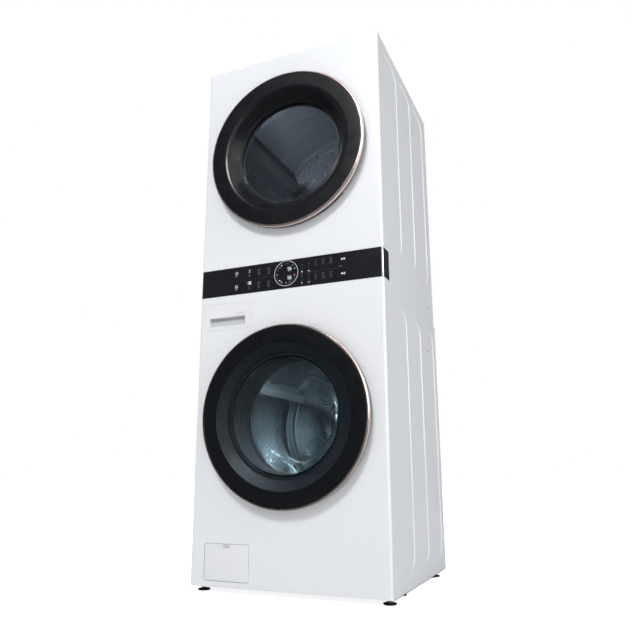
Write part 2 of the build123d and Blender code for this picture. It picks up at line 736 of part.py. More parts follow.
# ---- detergent drawer, water and drain ------------------------------------------------
def dispenser_box():
    """The drawer's housing behind the front panel."""
    x0, x1 = drawer_x[0] - 3, drawer_x[1] + 3
    z0, z1 = tray_z() - snug - 2.4, deck_z - 2 - snug
    y0, y1 = front + drawer_face_t + 1, front + drawer_depth + 6
    box = block(x0, x1, y0, y1, z0, z1)
    box -= block(x0 + 2.4, x1 - 2.4, y0 - 1, y1 - 2.4, z0 + 2.4, z1 - 2.4)
    return box + rod(12, y1 - 1, y1 + 24, (x0 + x1) / 2, z0 + 20)


def drawer_front():
    x0, x1 = drawer_x
    z0, z1 = drawer_z
    plate = block(x0, x1, front, front + drawer_face_t, z0, z1)
    plate = fillet(plate.edges().filter_by(Axis.Y), drawer_face_t)
    cup = block(grip_x[0] - 2, grip_x[1] + 2, front + 2, front + grip_depth + 2, grip_z[0] - 2, grip_z[1] + 14)
    void = block(grip_x[0], grip_x[1], front + 2, front + grip_depth, grip_z[0], grip_z[1] + 12)
    return plate + cup - void - block(*grip_x, front - 1, front + 5, *grip_z)


def drawer_tray():
    """The tray with its three compartments."""
    x0, x1 = drawer_x[0] + 3, drawer_x[1] - 3
    z0, z1 = tray_z(), drawer_z[1] - 18
    y0, y1 = front + grip_depth + 2 + snug, front + drawer_depth
    tray = block(x0, x1, y0, y1, z0, z1)
    for a, b in tray_cells():
        tray -= block(a, b, y0 + 3, y1 - 3, z0 + 3, z1 + 1)
    return tray + [block(x, x + 3, front + drawer_face_t, y0 + 1, z0, z0 + 9) for x in (x0, x1 - 3)]


def tray_z():
    """The tray's underside, just inside the opening in the front panel."""
    return drawer_z[0] + 1.5


def tray_cells():
    x0, x1 = drawer_x[0] + 3, drawer_x[1] - 3
    cell = (x1 - x0 - 12) / 3
    return [(x0 + 3 + k * (cell + 3), x0 + 3 + k * (cell + 3) + cell) for k in range(3)]


def water_connections():
    """Hot and cold inlet valves and the drain spigot, through the washer's back."""
    y1 = washer_back - sheet - snug
    z = inlet_z
    valve = rod(inlet_r, y1 - 10, y1 + 26, 0, z) + block(-17, 17, y1 - 60, y1 - sheet - snug, z - 20, z + 20)
    valve -= rod(inlet_r - 5, y1 - 20, y1 + 40, 0, z)
    x, z = spigot_x, spigot_z
    spigot = rod(spigot_r, y1 - 40, y1 + 30, x, z)
    spigot += block(x - 12, x + 12, y1 - 40, y1 - sheet - snug, z - 18, z + 18)
    spigot -= rod(spigot_r - 2.5, y1 - 30, y1 + 40, x, z)
    return group([Pos(inlet_x, 0, 0) * valve for inlet_x in inlet_xs] + [spigot])


def access_hatch():
    """The cover over the drain filter, hinged along its lower edge."""
    (x0, x1), (z0, z1) = hatch_x, hatch_z
    plate = block(x0, x1, front, front + hatch_t, z0, z1)
    plate = fillet(plate.edges().filter_by(Axis.Y), hatch_corner_r)
    tab_x0, tab_x1 = hatch_tab_x
    plate -= block(tab_x0, tab_x1, front - 1, front + 5, z1 - 10, z1 + 1)
    tongue = block(tab_x0 + 0.5, tab_x1 - 0.5, front + 0.8, front + 2.2, z1 - 10.5, z1 - 0.6)
    y, z = hatch_pivot
    sites = (x0 + 24, x1 - 24)
    knuckles = [Pos(x, y, z) * Rot(0, 90, 0) * Cylinder(hatch_t, 12) for x in sites]
    bores = [Pos(x + s * 12, y, z) * Rot(0, 90, 0) * Cylinder(hatch_pin_r + slip, 40)
             for x, s in zip(sites, (-1, 1))]
    return plate + tongue + knuckles - bores


def hatch_frame():
    """The hatch's surround behind the front panel, with its hinge pins."""
    (x0, x1), (z0, z1) = hatch_x, hatch_z
    y0 = front + sheet + snug
    frame = block(x0 - 8, x1 + 8, y0, front + 26, z0 - 8, z1 + 8)
    frame -= block(x0 - 2, x1 + 2, y0 - 1, front + 30, z0 - 4, z1 + 3)
    frame -= block(x0 - 9, x1 + 9, front + fold + 1.5, front + 30, z0 - 9, hatch_notch_z)
    y, z = hatch_pivot
    return frame + [Pos(x + s * 13, y, z) * Rot(0, 90, 0) * Cylinder(hatch_pin_r, 26)
                    for x, s in ((x0 + 24, -1), (x1 - 24, 1))]


def drain_pump():
    """The pump's casing and motor behind the hatch."""
    y0 = front + 30
    case = rod(pump_r, y0, front + 118, pump_x, pump_z)
    case += rod(24, front + 118, front + 176, pump_x, pump_z)
    case += Pos(pump_x + 34, front + 80, pump_z + 24) * Rot(0, 60, 0) * Cylinder(16, 44)
    case -= rod(pump_r - 4, y0 - 1, front + 112, pump_x, pump_z)
    flange = block(pump_x - 44, pump_x + 44, front + 26 + snug, y0 + 1, pump_z - 34, pump_z + 46)
    case += flange - rod(pump_r - 4, front, front + 40, pump_x, pump_z)
    return case - rod(impeller_shaft_r + slip, front + 100, front + 130, pump_x, pump_z)


def pump_impeller():
    """The pump's little paddle wheel on its shaft."""
    y0, y1 = front + 98, front + 110
    wheel = rod(impeller_shaft_r, y0, front + 129, pump_x, pump_z) + rod(7, y0, y1, pump_x, pump_z)
    vane = block(pump_x, pump_x + 22, y0, y1, pump_z - 1, pump_z + 1)
    return wheel + around(vane, pump_x, pump_z, range(0, 360, 60))


def filter_plug():
    """The drain filter: a grip, a threaded cap and a comb that sits in the pump."""
    y0 = front + 14
    plug = rod(pump_r - 5, y0 + 6, y0 + 30, pump_x, pump_z)
    plug += block(pump_x - 26, pump_x + 26, y0, y0 + 7, pump_z - 5, pump_z + 5)
    plug += rod(pump_r - 3, y0 + 6, y0 + 11, pump_x, pump_z)
    comb = [block(pump_x + dx - 1.5, pump_x + dx + 1.5, y0 + 29, y0 + 80, pump_z - 16, pump_z + 16)
            for dx in (-14, -5, 5, 14)]
    return plug + comb


def levelling_foot(x, y):
    """A rubber-shod disc, a hexagon and a threaded stem."""
    foot = turned_z([(0, 0), (foot_pad_r - 2, 0), (foot_pad_r, 2), (foot_pad_r - 1, 5),
                     (10, 6.5), (0, 6.5)], x, y)
    foot += Pos(x, y, 6) * extrude(RegularPolygon(9, 6), 3.8)
    return foot + post(stem_r, 6, 56, x, y)


def turned_z(points, x, y):
    """A profile of (radius, z) points turned about an upright axis."""
    return Pos(x, y, 0) * revolve(Plane.XZ * make_face(Polyline(*points, close=True)), Axis.Z)


# ---- dryer ---------------------------------------------------------------------------
def dryer_front_bulkhead():
    """The plate in front of the drum: collar round the door, glide ring and lint chute."""
    z = dryer_door_z
    y1 = dryer_drum_y0 - 4
    inner = dryer_hole_r - 4
    edge = inner_half - press - snug
    glide_r = dryer_neck_r - dryer_wall - snug
    plate = block(-edge, edge, y1 - 3, y1, bulkhead_low_z, bulkhead_top_z)
    glide = tube(glide_r, glide_r - 4, y1 - 1, dryer_drum_y0 + 14, 0, dryer_axis_z)
    collar = rod(inner + 3, front + 15, y1, 0, z)
    hollow = rod(inner, front, y1 + 30, 0, z)
    w, y0, split = filter_w / 2, filter_y[0] - 6, bulkhead_low_z + 16
    chute = block(-w - 4, w + 4, y0, y1, split - 6, z - 190)
    chute += block(-w - 4, motor_x + 70, y0, y1, motor_z - 70, split)
    void = block(-w, w, y0 + 4, y1 - 4, split - 8, z - 150)
    void += block(-w, motor_x + 66, y0 + 4, y1 - 4, motor_z - 66, split - 4)
    return plate + collar + chute - hollow - void + glide - rod(blower_r - 14, y1 - 5, y1 + 5, motor_x, motor_z)


def lint_filter():
    """The mesh filter that lifts out of the collar's lower lip."""
    edge = filter_w / 2 - snug
    y0, y1 = filter_y
    body = block(-edge, edge, y0, y1, filter_low_z, dryer_door_z - 150)
    body -= rod(dryer_hole_r - 4 + snug, y0 - 5, y1 + 5, 0, dryer_door_z)
    for x0, x1 in ((-edge + 6, -3), (3, edge - 6)):
        body -= block(x0, x1, y0 + 1.5, y1 - 1.5, filter_low_z + 6, dryer_door_z - dryer_hole_r - 14)
        body -= block(x0 + 4, x1 - 4, y0 - 1, y0 + 5, filter_low_z + 10, dryer_door_z - dryer_hole_r - 24)
    grip_low = dryer_door_z - dryer_hole_r
    return body + block(-24, 24, y0 + 2, y1 - 2, grip_low, grip_low + 14)


def dryer_rear_bulkhead():
    """The plate that closes the drum's back, with the hot air grille and the rollers' axles."""
    z = dryer_axis_z
    y0, y1 = bulkhead_y, bulkhead_y + 2
    edge = inner_half - press - snug
    glide_r = dryer_neck_r - dryer_wall - snug
    plate = block(-edge, edge, y0, y1, bulkhead_low_z, bulkhead_top_z)
    plate += tube(glide_r, glide_r - 4, dryer_drum_y1 - 14, y0 + 1, 0, z)
    plate -= [rod(7, y0 - 1, y1 + 1, 194 + col * 18, z + 60 - row * 20) for row in range(6) for col in range(5)]
    for x, zr in roller_centres():
        plate += rod(axle_r, dryer_drum_y1 - 30, y0 + 1, x, zr)
        plate += rod(14, dryer_drum_y1 + snug, y0 + 1, x, zr)
    return plate


def roller_centres():
    reach = dryer_neck_r + snug + roller_r
    a = math.radians(roller_angle)
    return [(s * reach * math.sin(a), dryer_axis_z - reach * math.cos(a)) for s in (-1, 1)]


def roller(x, z):
    y1 = dryer_drum_y1
    wheel = tube(roller_r, axle_r + slip, y1 - 22, y1, x, z)
    return wheel - tube(roller_r - 8, 14, y1 - 30, y1 - 17, x, z)


def dryer_drum():
    """The galvanised drum, necked at both ends where it rides on the glides and rollers."""
    z = dryer_axis_z
    y0, y1 = dryer_drum_y0, dryer_drum_y1
    r, n, t = dryer_drum_r, dryer_neck_r, dryer_wall
    return turned([(n, y0), (n, y0 + neck_w), (r, y0 + neck_w + 12), (r, y1 - neck_w - 12),
                   (n, y1 - neck_w), (n, y1), (n - t, y1), (n - t, y1 - neck_w - t),
                   (r - t, y1 - neck_w - 12 - t), (r - t, y0 + neck_w + 12 + t),
                   (n - t, y0 + neck_w + t), (n - t, y0)], 0, z)


def dryer_lifters():
    """Three broad lifters inside the drum."""
    y0, y1 = dryer_drum_y0 + neck_w + 18, dryer_drum_y1 - neck_w - 18
    base = dryer_drum_r - dryer_wall
    shape = lifter(base, base - lifter_reach, 150, 36, 14, y0, y1, dryer_axis_z)
    return group(around(shape, 0, dryer_axis_z, lifter_angles(295)))


def tangent(c0, r0, s0, c1, r1, s1):
    """Where a straight run leaves one wheel and meets the next. s is +1 anticlockwise, -1 clockwise."""
    dx, dz = c1[0] - c0[0], c1[1] - c0[1]
    dist = math.hypot(dx, dz)
    base = math.atan2(dz, dx)
    off = math.asin((s0 * r0 - s1 * r1) / dist)
    a = base + off
    nx, nz = math.sin(a), -math.cos(a)
    return ((c0[0] + s0 * r0 * nx, c0[1] + s0 * r0 * nz), (c1[0] + s1 * r1 * nx, c1[1] + s1 * r1 * nz))


def belt_loop(offset):
    """A closed loop round the drum, the idler and the motor's pulley, offset across the belt."""
    wheels = [((0, dryer_axis_z), dryer_drum_r + snug, 1), ((idler_x, idler_z), idler_r + snug, 1),
              ((motor_x, motor_z), pulley_r + snug, 1)]
    wheels = [(c, r + s * offset, s) for c, r, s in wheels]
    n = len(wheels)
    runs = [tangent(*wheels[k], *wheels[(k + 1) % n]) for k in range(n)]
    edges = []
    for k in range(n):
        (cx, cz), r, s = wheels[k]
        start, end = runs[k - 1][1], runs[k][0]
        a0 = math.atan2(start[1] - cz, start[0] - cx)
        a1 = math.atan2(end[1] - cz, end[0] - cx)
        sweep_angle = (s * (a1 - a0)) % (2 * math.pi) * s
        mid = a0 + sweep_angle / 2
        edges.append(ThreePointArc(start, (cx + r * math.cos(mid), cz + r * math.sin(mid)), end))
        edges.append(Line(runs[k][0], runs[k][1]))
    return make_face(edges)


def drum_belt():
    loop = belt_loop(belt_t) - belt_loop(0)
    return Pos(0, belt_y + belt_w / 2, 0) * extrude(Plane.XZ * loop, belt_w)


def dryer_motor():
    """The motor, cradled on the deck, and the idler's arm."""
    case = rod(motor_r, *motor_y, motor_x, motor_z)
    case = chamfer(case.edges().filter_by(GeomType.CIRCLE), 6)
    case -= rod(motor_shaft_r + slip, motor_y[0] - 5, motor_y[1] + 5, motor_x, motor_z)
    y0 = motor_y[1]
    arm = block(idler_x - 8, motor_x + 10, y0 - 0.5, y0 + 4, idler_z - 8, idler_z + 8)
    arm -= rod(12, y0 - 10, y0 + 10, motor_x, motor_z)
    return case + arm + rod(axle_r, y0, belt_y + belt_w, idler_x, idler_z)


def motor_shaft():
    """The motor's shaft with the belt pulley on it."""
    shaft = rod(motor_shaft_r, blower_y[0] + 8, belt_y + 16, motor_x, motor_z)
    return shaft + rod(pulley_r, belt_y - 9, belt_y + 9, motor_x, motor_z)


def idler_pulley():
    y0, y1 = belt_y - belt_w / 2 - 2, belt_y + belt_w / 2 + 2
    return tube(idler_r, axle_r + slip, y0, y1, idler_x, idler_z)


def blower_wheel():
    """The fan on the motor shaft's front end."""
    y0, y1 = blower_y[0] + 6, blower_y[1] - 8
    wheel = rod(blower_r - 6, y1 - 3, y1, motor_x, motor_z) + rod(14, y0 + 4, y1, motor_x, motor_z)
    vane = block(motor_x + blower_r - 24, motor_x + blower_r - 7, y0, y1, motor_z - 1, motor_z + 1)
    vanes = around(vane, motor_x, motor_z, range(0, 360, 20))
    return wheel + vanes - rod(motor_shaft_r + 0.02, blower_y[0], blower_y[1], motor_x, motor_z)


def blower_housing():
    """The fan's scroll and its outlet towards the exhaust duct."""
    y0, y1 = dryer_drum_y0 - 4 + snug, blower_y[1]
    low = deck_z + 3
    outer = rod(blower_r + 12, y0, y1, motor_x, motor_z)
    outer += block(duct_x - 56, motor_x, y0, y1, low, duct_z + 54)
    void = rod(blower_r + 9, y0 + 3, y1 - 3, motor_x, motor_z)
    void += block(duct_x - 53, motor_x, y0 + 3, y1 - 3, low + 3, duct_z + 51)
    hole = rod(blower_r - 14, y0 - 1, y0 + 4, motor_x, motor_z) + rod(9, y1 - 4, y1 + 1, motor_x, motor_z)
    return outer - void - hole - rod(duct_r - duct_wall, y1 - 4, y1 + 1, duct_x, duct_z)


def exhaust_duct():
    """The straight duct from the blower to the collar at the back."""
    return tube(duct_r, duct_r - duct_wall, blower_y[1] + 0.05, rear_end, duct_x, duct_z)


def heater_duct():
    """The heater's case on the deck and the riser behind the drum's back plate."""
    y1 = dryer_back - sheet - snug
    y0 = bulkhead_y + 2.05
    x0, x1 = 176, 300
    low = deck_z + 0.05
    case = block(x0, x1, front + 430, y1, low, low + 112) - block(
        x0 + 2, x1 - 2, front + 429, y1 - 2, low + 2, low + 110)
    riser = block(x0, x1, y0, y1, low + 100, 1610) - block(x0 + 2, x1 - 2, y0 + 2, y1 - 2, low + 99, 1608)
    void = block(x0 + 2, x1 - 2, y0 + 2, y1 - 2, low + 80, 1608)
    void += block(184, 276, y0 - 1, y0 + 3, dryer_axis_z - 50, dryer_axis_z + 70)
    return case + riser - void


def heater_element():
    """The heater's open coils on their mica frame, inside the case."""
    low = deck_z + 2.1
    frame = [block(200, 276, y, y + 2, low, low + 90) for y in (front + 450, front + 500, front + 550, front + 600)]
    bars = [rod(3.5, front + 449, front + 603, x, low + 30 + k * 26) for k in range(3) for x in (214, 238, 262)]
    return Part() + frame + bars


NODES = {
    "base_pan": base_pan,
    "washer_side_right": washer_side,
    "washer_side_left": lambda: mirror(washer_side(), Plane.YZ),
    "washer_front_panel": washer_front_panel,
    "washer_rear_cover": lambda: group([washer_rear_cover(), transit_caps()]),
    "stacking_deck": stacking_deck,
    "dryer_side_right": dryer_side,
    "dryer_side_left": lambda: mirror(dryer_side(), Plane.YZ),
    "dryer_front_panel": dryer_front_panel,
    "dryer_rear_panel": lambda: group([dryer_rear_panel(), cord_gland()]),
    "top_panel": top_panel,
    "control_glass": control_glass,
    "control_module": lambda: group([control_housing(), control_board()]),
    "door_brackets_and_catches": lambda: group(
        [make(z) for make in (hinge_bracket, door_catch) for z in (washer_door_z, dryer_door_z)]),
    "washer_door_frame": washer_door_frame,
    "washer_door_trim": lambda: trim_ring(washer_door_z),
    "washer_door_cover": washer_door_cover,
    "washer_door_bowl": washer_door_bowl,
    "washer_door_metalwork": lambda: group([hinge_arm(washer_door_z), door_hook(washer_door_z)]),
    "dryer_door_frame": dryer_door_frame,
    "dryer_door_trim": lambda: trim_ring(dryer_door_z),
    "dryer_door_dish": dryer_door_dish,
    "dryer_door_window": dryer_door_window,
    "dryer_door_metalwork": lambda: group([hinge_arm(dryer_door_z), door_hook(dryer_door_z)]),
    "door_gasket": door_gasket,
    "tub_front": tub_front,
    "tub_rear": lambda: group([tub_rear(), *drum_bearings()]),
    "counterweights": counterweights,
    "stator": stator,
    "damper_rods": damper_rods,
    "damper_cylinders": damper_cylinders,
    "suspension_springs": suspension_springs,
    "washer_drum": washer_drum,
    "washer_drum_mouldings": lambda: group([drum_balancer(), washer_lifters()]),
    "drum_spider": drum_spider,
    "rotor": lambda: group([rotor(), rotor_nut()]),
    "dispenser_box": dispenser_box,
    "drawer_front": drawer_front,
    "drawer_tray": drawer_tray,
    "water_connections": water_connections,
    "access_hatch": access_hatch,
    "drain_pump": lambda: group([drain_pump(), hatch_frame()]),
    "pump_impeller": pump_impeller,
    "filter_plug": filter_plug,
    "dryer_front_bulkhead": dryer_front_bulkhead,
    "lint_filter": lint_filter,
    "dryer_rear_bulkhead": dryer_rear_bulkhead,
    "dryer_drum": dryer_drum,
    "dryer_lifters": dryer_lifters,
    "drum_belt": drum_belt,
    "dryer_motor": dryer_motor,
    "motor_rotor": lambda: group([motor_shaft(), blower_wheel()]),
    "idler_pulley": idler_pulley,
    "dryer_ducts": lambda: group([blower_housing(), exhaust_duct(), heater_duct(), heater_element()]),
}

for side, (roller_x, roller_z) in zip(("left", "right"), roller_centres()):
    NODES[f"drum_roller_{side}"] = lambda x=roller_x, z=roller_z: roller(x, z)
for end, foot_y in zip(("front", "rear"), foot_ys):
    for side, foot_side in (("left", -1), ("right", 1)):
        NODES[f"foot_{end}_{side}"] = lambda x=foot_side * foot_x, y=foot_y: levelling_foot(x, y)

os.makedirs("parts", exist_ok=True)
for name, make in NODES.items():
    export_step(make(), f"parts/{name}.step")
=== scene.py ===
"""The looks of the washer and dryer tower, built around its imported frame.

Metres, +Z up, the front faces -Y. Places come from the frame's boxes.
"""
import math

import bmesh
import bpy
from mathutils import Matrix, Vector


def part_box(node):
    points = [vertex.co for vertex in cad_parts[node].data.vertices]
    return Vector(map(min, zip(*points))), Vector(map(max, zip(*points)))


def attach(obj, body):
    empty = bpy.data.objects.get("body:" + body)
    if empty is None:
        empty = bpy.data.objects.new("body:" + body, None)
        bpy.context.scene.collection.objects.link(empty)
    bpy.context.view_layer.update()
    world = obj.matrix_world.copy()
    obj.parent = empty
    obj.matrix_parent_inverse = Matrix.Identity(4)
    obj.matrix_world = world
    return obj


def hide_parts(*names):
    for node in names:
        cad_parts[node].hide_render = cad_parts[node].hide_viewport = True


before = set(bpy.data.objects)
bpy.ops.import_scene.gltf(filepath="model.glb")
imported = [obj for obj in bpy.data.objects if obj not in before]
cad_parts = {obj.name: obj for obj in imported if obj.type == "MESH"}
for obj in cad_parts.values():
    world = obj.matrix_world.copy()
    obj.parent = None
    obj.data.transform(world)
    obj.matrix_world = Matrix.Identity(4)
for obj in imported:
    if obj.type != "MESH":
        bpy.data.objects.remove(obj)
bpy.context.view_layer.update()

MM = 0.001
ROUND = 160                  # steps round a large turned piece
DOOR_ROUND = 224             # and round a door's front

# ---- places read from the frame
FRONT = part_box("washer_front_panel")[0].y
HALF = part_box("washer_front_panel")[1].x
STRIP_LOW, STRIP_HIGH = (corner.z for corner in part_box("control_glass"))
STRIP_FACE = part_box("control_glass")[0].y
WASHER_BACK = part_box("washer_side_right")[1].y
DRYER_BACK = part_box("dryer_rear_panel")[1].y
WASHER_SKIN = WASHER_BACK - 1.5 * MM     # just inside the washer's back panel


def middle(node):
    """The centre of a CAD node's box."""
    low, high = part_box(node)
    return (low + high) / 2


WASHER_Z = middle("washer_door_trim").z
DRYER_Z = middle("dryer_door_trim").z
DRUM_Z = middle("dryer_drum").z
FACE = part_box("washer_door_cover")[0].y
COVER_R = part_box("washer_door_cover")[1].x
INLET_Z = 0.9
SPIGOT_AT = (0.25, 0.87)     # x and z
EXHAUST_AT, EXHAUST_R = (-0.08, 1.012), 0.0508


# ---- camera, floor and light
CAMERA_AT = (0.9144, -2.2061, 0.3746)
CAMERA_TURN = 23.393         # degrees, from +Y towards -X
CAMERA_RISE = 13.739         # degrees above the horizon
CAMERA_ROLL = -0.153
CAMERA_LENS = 36.015         # on a 36 mm sensor


def make_camera():
    turn, rise, roll = (math.radians(a) for a in (CAMERA_TURN, CAMERA_RISE, CAMERA_ROLL))
    forward = Vector((-math.sin(turn) * math.cos(rise), math.cos(turn) * math.cos(rise), math.sin(rise)))
    side = Vector((math.cos(turn), math.sin(turn), 0))
    up = side.cross(forward)
    right = side * math.cos(roll) + up * math.sin(roll)
    above = up * math.cos(roll) - side * math.sin(roll)
    data = bpy.data.cameras.new("camera")
    data.lens = CAMERA_LENS
    data.sensor_width = 36.0
    camera = bpy.data.objects.new("camera", data)
    bpy.context.scene.collection.objects.link(camera)
    turned = Matrix((right, above, -forward)).transposed().to_4x4()
    camera.matrix_world = Matrix.Translation(CAMERA_AT) @ turned
    bpy.context.scene.camera = camera


def area_light(name, place, target, size, power, colour=(1, 1, 1)):
    data = bpy.data.lights.new(name, "AREA")
    data.shape = "RECTANGLE"
    data.size, data.size_y = size
    data.energy = power
    data.color = colour
    light = bpy.data.objects.new(name, data)
    bpy.context.scene.collection.objects.link(light)
    light.location = place
    light.rotation_euler = (Vector(target) - Vector(place)).to_track_quat("-Z", "Y").to_euler()


ROOM_LIGHT = 0.40            # the studio's even light
BACKDROP = 1.0               # how bright the backdrop looks
FLOOR_LIFT = 0.9             # added where the camera sees the floor
# what shiny faces see, from the left (0) through the front (0.5) to the right (1)
REFLECTED = ((0.0, 0.18), (0.16, 0.09), (0.30, 0.02), (0.46, 0.03), (0.62, 0.22), (0.8, 0.62), (1.0, 0.40))
REFLECTED_BEHIND = 0.22      # how much of that is left towards the back
REFLECTED_ABOVE = 2.0        # how much brighter it is overhead


def make_world():
    """A white backdrop, an even light, and a studio with dark and bright sides for reflections."""
    world = bpy.data.worlds.new("studio")
    bpy.context.scene.world = world
    n = Nodes("studio", world)
    axes = n.new("SeparateXYZ", n.coordinates["Generated"]).outputs
    ramp = n.new("ValToRGB", n.ranged(axes[0], -1, 1, 0, 1))
    ramp.color_ramp.interpolation = "EASE"
    stops = ramp.color_ramp.elements
    for at, _ in REFLECTED[1:-1]:
        stops.new(at)
    for stop, (at, value) in zip(stops, REFLECTED):
        stop.position = at
        stop.color = (value, value, value, 1)
    level = n.math("MULTIPLY", n.ranged(axes[1], 0.1, 0.5, 1, REFLECTED_BEHIND),
                   n.ranged(axes[2], 0, 0.7, 1, REFLECTED_ABOVE))
    shiny = n.new("Background", ramp.outputs[0], level)
    even = n.new("Background", (0.96, 0.98, 1), ROOM_LIGHT)
    backdrop = n.new("Background", (1, 1, 1), BACKDROP)
    path = n.new("LightPath").outputs
    lighting = n.new("MixShader", path["Is Diffuse Ray"], shiny.outputs[0], even.outputs[0])
    n.show(n.new("MixShader", path["Is Camera Ray"], lighting.outputs[0], backdrop.outputs[0]))


def make_floor():
    """A plain pale floor that meets the backdrop without a line."""
    bpy.ops.mesh.primitive_plane_add(size=60)
    floor = bpy.context.object
    floor.name = "floor"
    n = Nodes("floor")
    n.put("Roughness", 0.9)
    n.put("Specular IOR Level", 0)
    path = n.new("LightPath").outputs
    n.put("Base Color", n.mix(path["Is Glossy Ray"], (0.9, 0.9, 0.9), (0.12, 0.12, 0.12)))
    lift = n.new("Emission", (1, 1, 1), n.math("MULTIPLY", path["Is Camera Ray"], FLOOR_LIFT))
    n.show(n.new("AddShader", n.shader.outputs[0], lift.outputs[0]))
    floor.data.materials.append(n.material)


def make_studio():
    bpy.context.scene.view_settings.view_transform = "Standard"
    make_world()
    make_floor()
    area_light("key", (0.1, -4.4, 4.2), (0, FRONT, 0.9), (1.4, 1.1), 132)
    area_light("front", (1.5, -4.6, 1.0), (0, FRONT, 0.9), (1.6, 2.4), 9)
    area_light("fill", (4.6, -0.8, 2.1), (HALF, 0, 1.1), (2.2, 3.0), 76)
    area_light("washer_lamp", (-0.05, FRONT + 0.13, WASHER_Z + 0.16), (0.03, FRONT + 0.5, WASHER_Z - 0.1),
               (0.03, 0.015), 0.30, (0.80, 0.95, 1.0))
    area_light("dryer_lamp", (-0.06, FRONT + 0.14, DRYER_Z + 0.14), (0.04, FRONT + 0.5, DRYER_Z - 0.12),
               (0.03, 0.015), 0.08, (0.92, 0.96, 1.0))
    area_light("back", (-1.5, 4.8, 2.6), (0, WASHER_BACK, 1.0), (3.0, 2.0), 120)


# ---- materials
class Nodes:
    """Short calls for the node tree of a new material, or of a world."""

    def __init__(self, name, owner=None):
        self.material = owner or bpy.data.materials.new(name)
        self.material.use_nodes = True
        self.tree = self.material.node_tree
        self.shader = self.tree.nodes.get("Principled BSDF")
        self.coordinates = self.new("TexCoord").outputs
        self.place = self.coordinates["Object"]

    def new(self, kind, *values, **settings):
        """A node whose first inputs are given as values or as sockets to join."""
        node = self.tree.nodes.new("ShaderNode" + kind)
        for key, value in settings.items():
            setattr(node, key, value)
        for socket, value in zip(node.inputs, values):
            self.feed(socket, value)
        return node

    def feed(self, socket, value):
        if isinstance(value, bpy.types.NodeSocket):
            self.tree.links.new(value, socket)
        elif value is not None:
            socket.default_value = (*value, 1) if isinstance(value, tuple) else value

    def put(self, name, value):
        """Sets an input of the main shader."""
        self.feed(self.shader.inputs[name], value)

    def show(self, node):
        output = next(made for made in self.tree.nodes if made.name.endswith("Output"))
        self.feed(output.inputs["Surface"], node.outputs[0])

    def noise(self, scale, detail=3.0, place=None):
        node = self.new("TexNoise", place or self.place)
        node.inputs["Scale"].default_value = scale
        node.inputs["Detail"].default_value = detail
        return node.outputs["Fac"]

    def cells(self, scale):
        node = self.new("TexVoronoi", self.place)
        node.inputs["Scale"].default_value = scale
        return node.outputs

    def math(self, operation, *values):
        return self.new("Math", *values, operation=operation).outputs[0]

    def ranged(self, source, start, end, low, high):
        """A value between start and end, turned into one between low and high."""
        return self.new("MapRange", source, start, end, low, high).outputs[0]

    def spread(self, source, low, high):
        """A noise value stretched to lie from low to high."""
        return self.ranged(source, 0.3, 0.7, low, high)

    def mix(self, factor, a, b):
        node = self.new("Mix", factor, data_type="RGBA")
        self.feed(node.inputs[6], a)
        self.feed(node.inputs[7], b)
        return node.outputs[2]

    def axes(self):
        return self.new("SeparateXYZ", self.place).outputs

    def vector(self, *values):
        return self.new("CombineXYZ", *values).outputs[0]

    def bump(self, height, strength, distance=0.0005):
        node = self.new("Bump")
        node.inputs["Strength"].default_value = strength
        node.inputs["Distance"].default_value = distance
        self.feed(node.inputs["Height"], height)
        self.put("Normal", node.outputs[0])


def tones(colour, vary):
    """A colour a little darker and a little lighter."""
    return [tuple(min(1.0, c * (1 + s * vary)) for c in colour) for s in (-1, 1)]


def surface(name, colour, rough, metallic=0.0, vary=0.03, blotch=7.0, rough_vary=0.05,
            grain=0.06, grain_scale=900.0, coat=0.0, specular=0.5):
    """A plain finish with slow colour changes, uneven gloss and a fine grain."""
    n = Nodes(name)
    n.put("Base Color", n.mix(n.noise(blotch), *tones(colour, vary)))
    n.put("Roughness", n.spread(n.noise(blotch * 3.1, 5), rough - rough_vary, rough + rough_vary))
    n.put("Metallic", metallic)
    n.put("Specular IOR Level", specular)
    n.put("Coat Weight", coat)
    n.put("Coat Roughness", 0.06)
    n.bump(n.noise(grain_scale, 2), grain)
    return n.material


def enamel(name, colour):
    """Painted steel: the slight orange peel of baked enamel under a clear gloss."""
    n = Nodes(name)
    n.put("Base Color", n.mix(n.noise(2.2), *tones(colour, 0.006)))
    n.put("Roughness", n.spread(n.noise(16, 4), 0.29, 0.32))
    n.put("Coat Weight", 0.35)
    n.put("Coat Roughness", 0.12)
    n.bump(n.math("MULTIPLY_ADD", n.noise(1500, 2), 0.25, n.noise(380, 2)), 0.035, 0.0004)
    return n.material


def spangled(name, colour, rough, scale=55.0, vary=0.10):
    """Galvanised sheet with its crystal spangle."""
    n = Nodes(name)
    grey = n.new("RGBToBW", n.cells(scale)["Color"]).outputs[0]
    n.put("Base Color", n.mix(grey, *tones(colour, vary)))
    n.put("Roughness", n.spread(grey, rough - 0.07, rough + 0.07))
    n.put("Metallic", 0.9)
    n.bump(n.math("MULTIPLY_ADD", n.noise(700, 3), 0.5, grey), 0.08)
    return n.material


def turned_metal(name, colour, rough, x, z, along=2600.0, vary=0.05, grain=0.12):
    """Metal brushed or rolled round an axis along Y."""
    n = Nodes(name)
    axes = n.axes()
    dx, dz = n.math("SUBTRACT", axes[0], x), n.math("SUBTRACT", axes[2], z)
    radius = n.math("SQRT", n.math("MULTIPLY_ADD", dx, dx, n.math("MULTIPLY", dz, dz)))
    streak = n.vector(n.math("MULTIPLY", radius, along), n.math("MULTIPLY", axes[1], along),
                      n.math("MULTIPLY", n.math("ARCTAN2", dx, dz), 6.0))
    lines = n.noise(1.0, 3, streak)
    n.put("Base Color", n.mix(lines, *tones(colour, vary)))
    n.put("Roughness", n.spread(lines, rough - 0.06, rough + 0.06))
    n.put("Metallic", 1.0)
    n.bump(lines, grain, 0.0002)
    return n.material


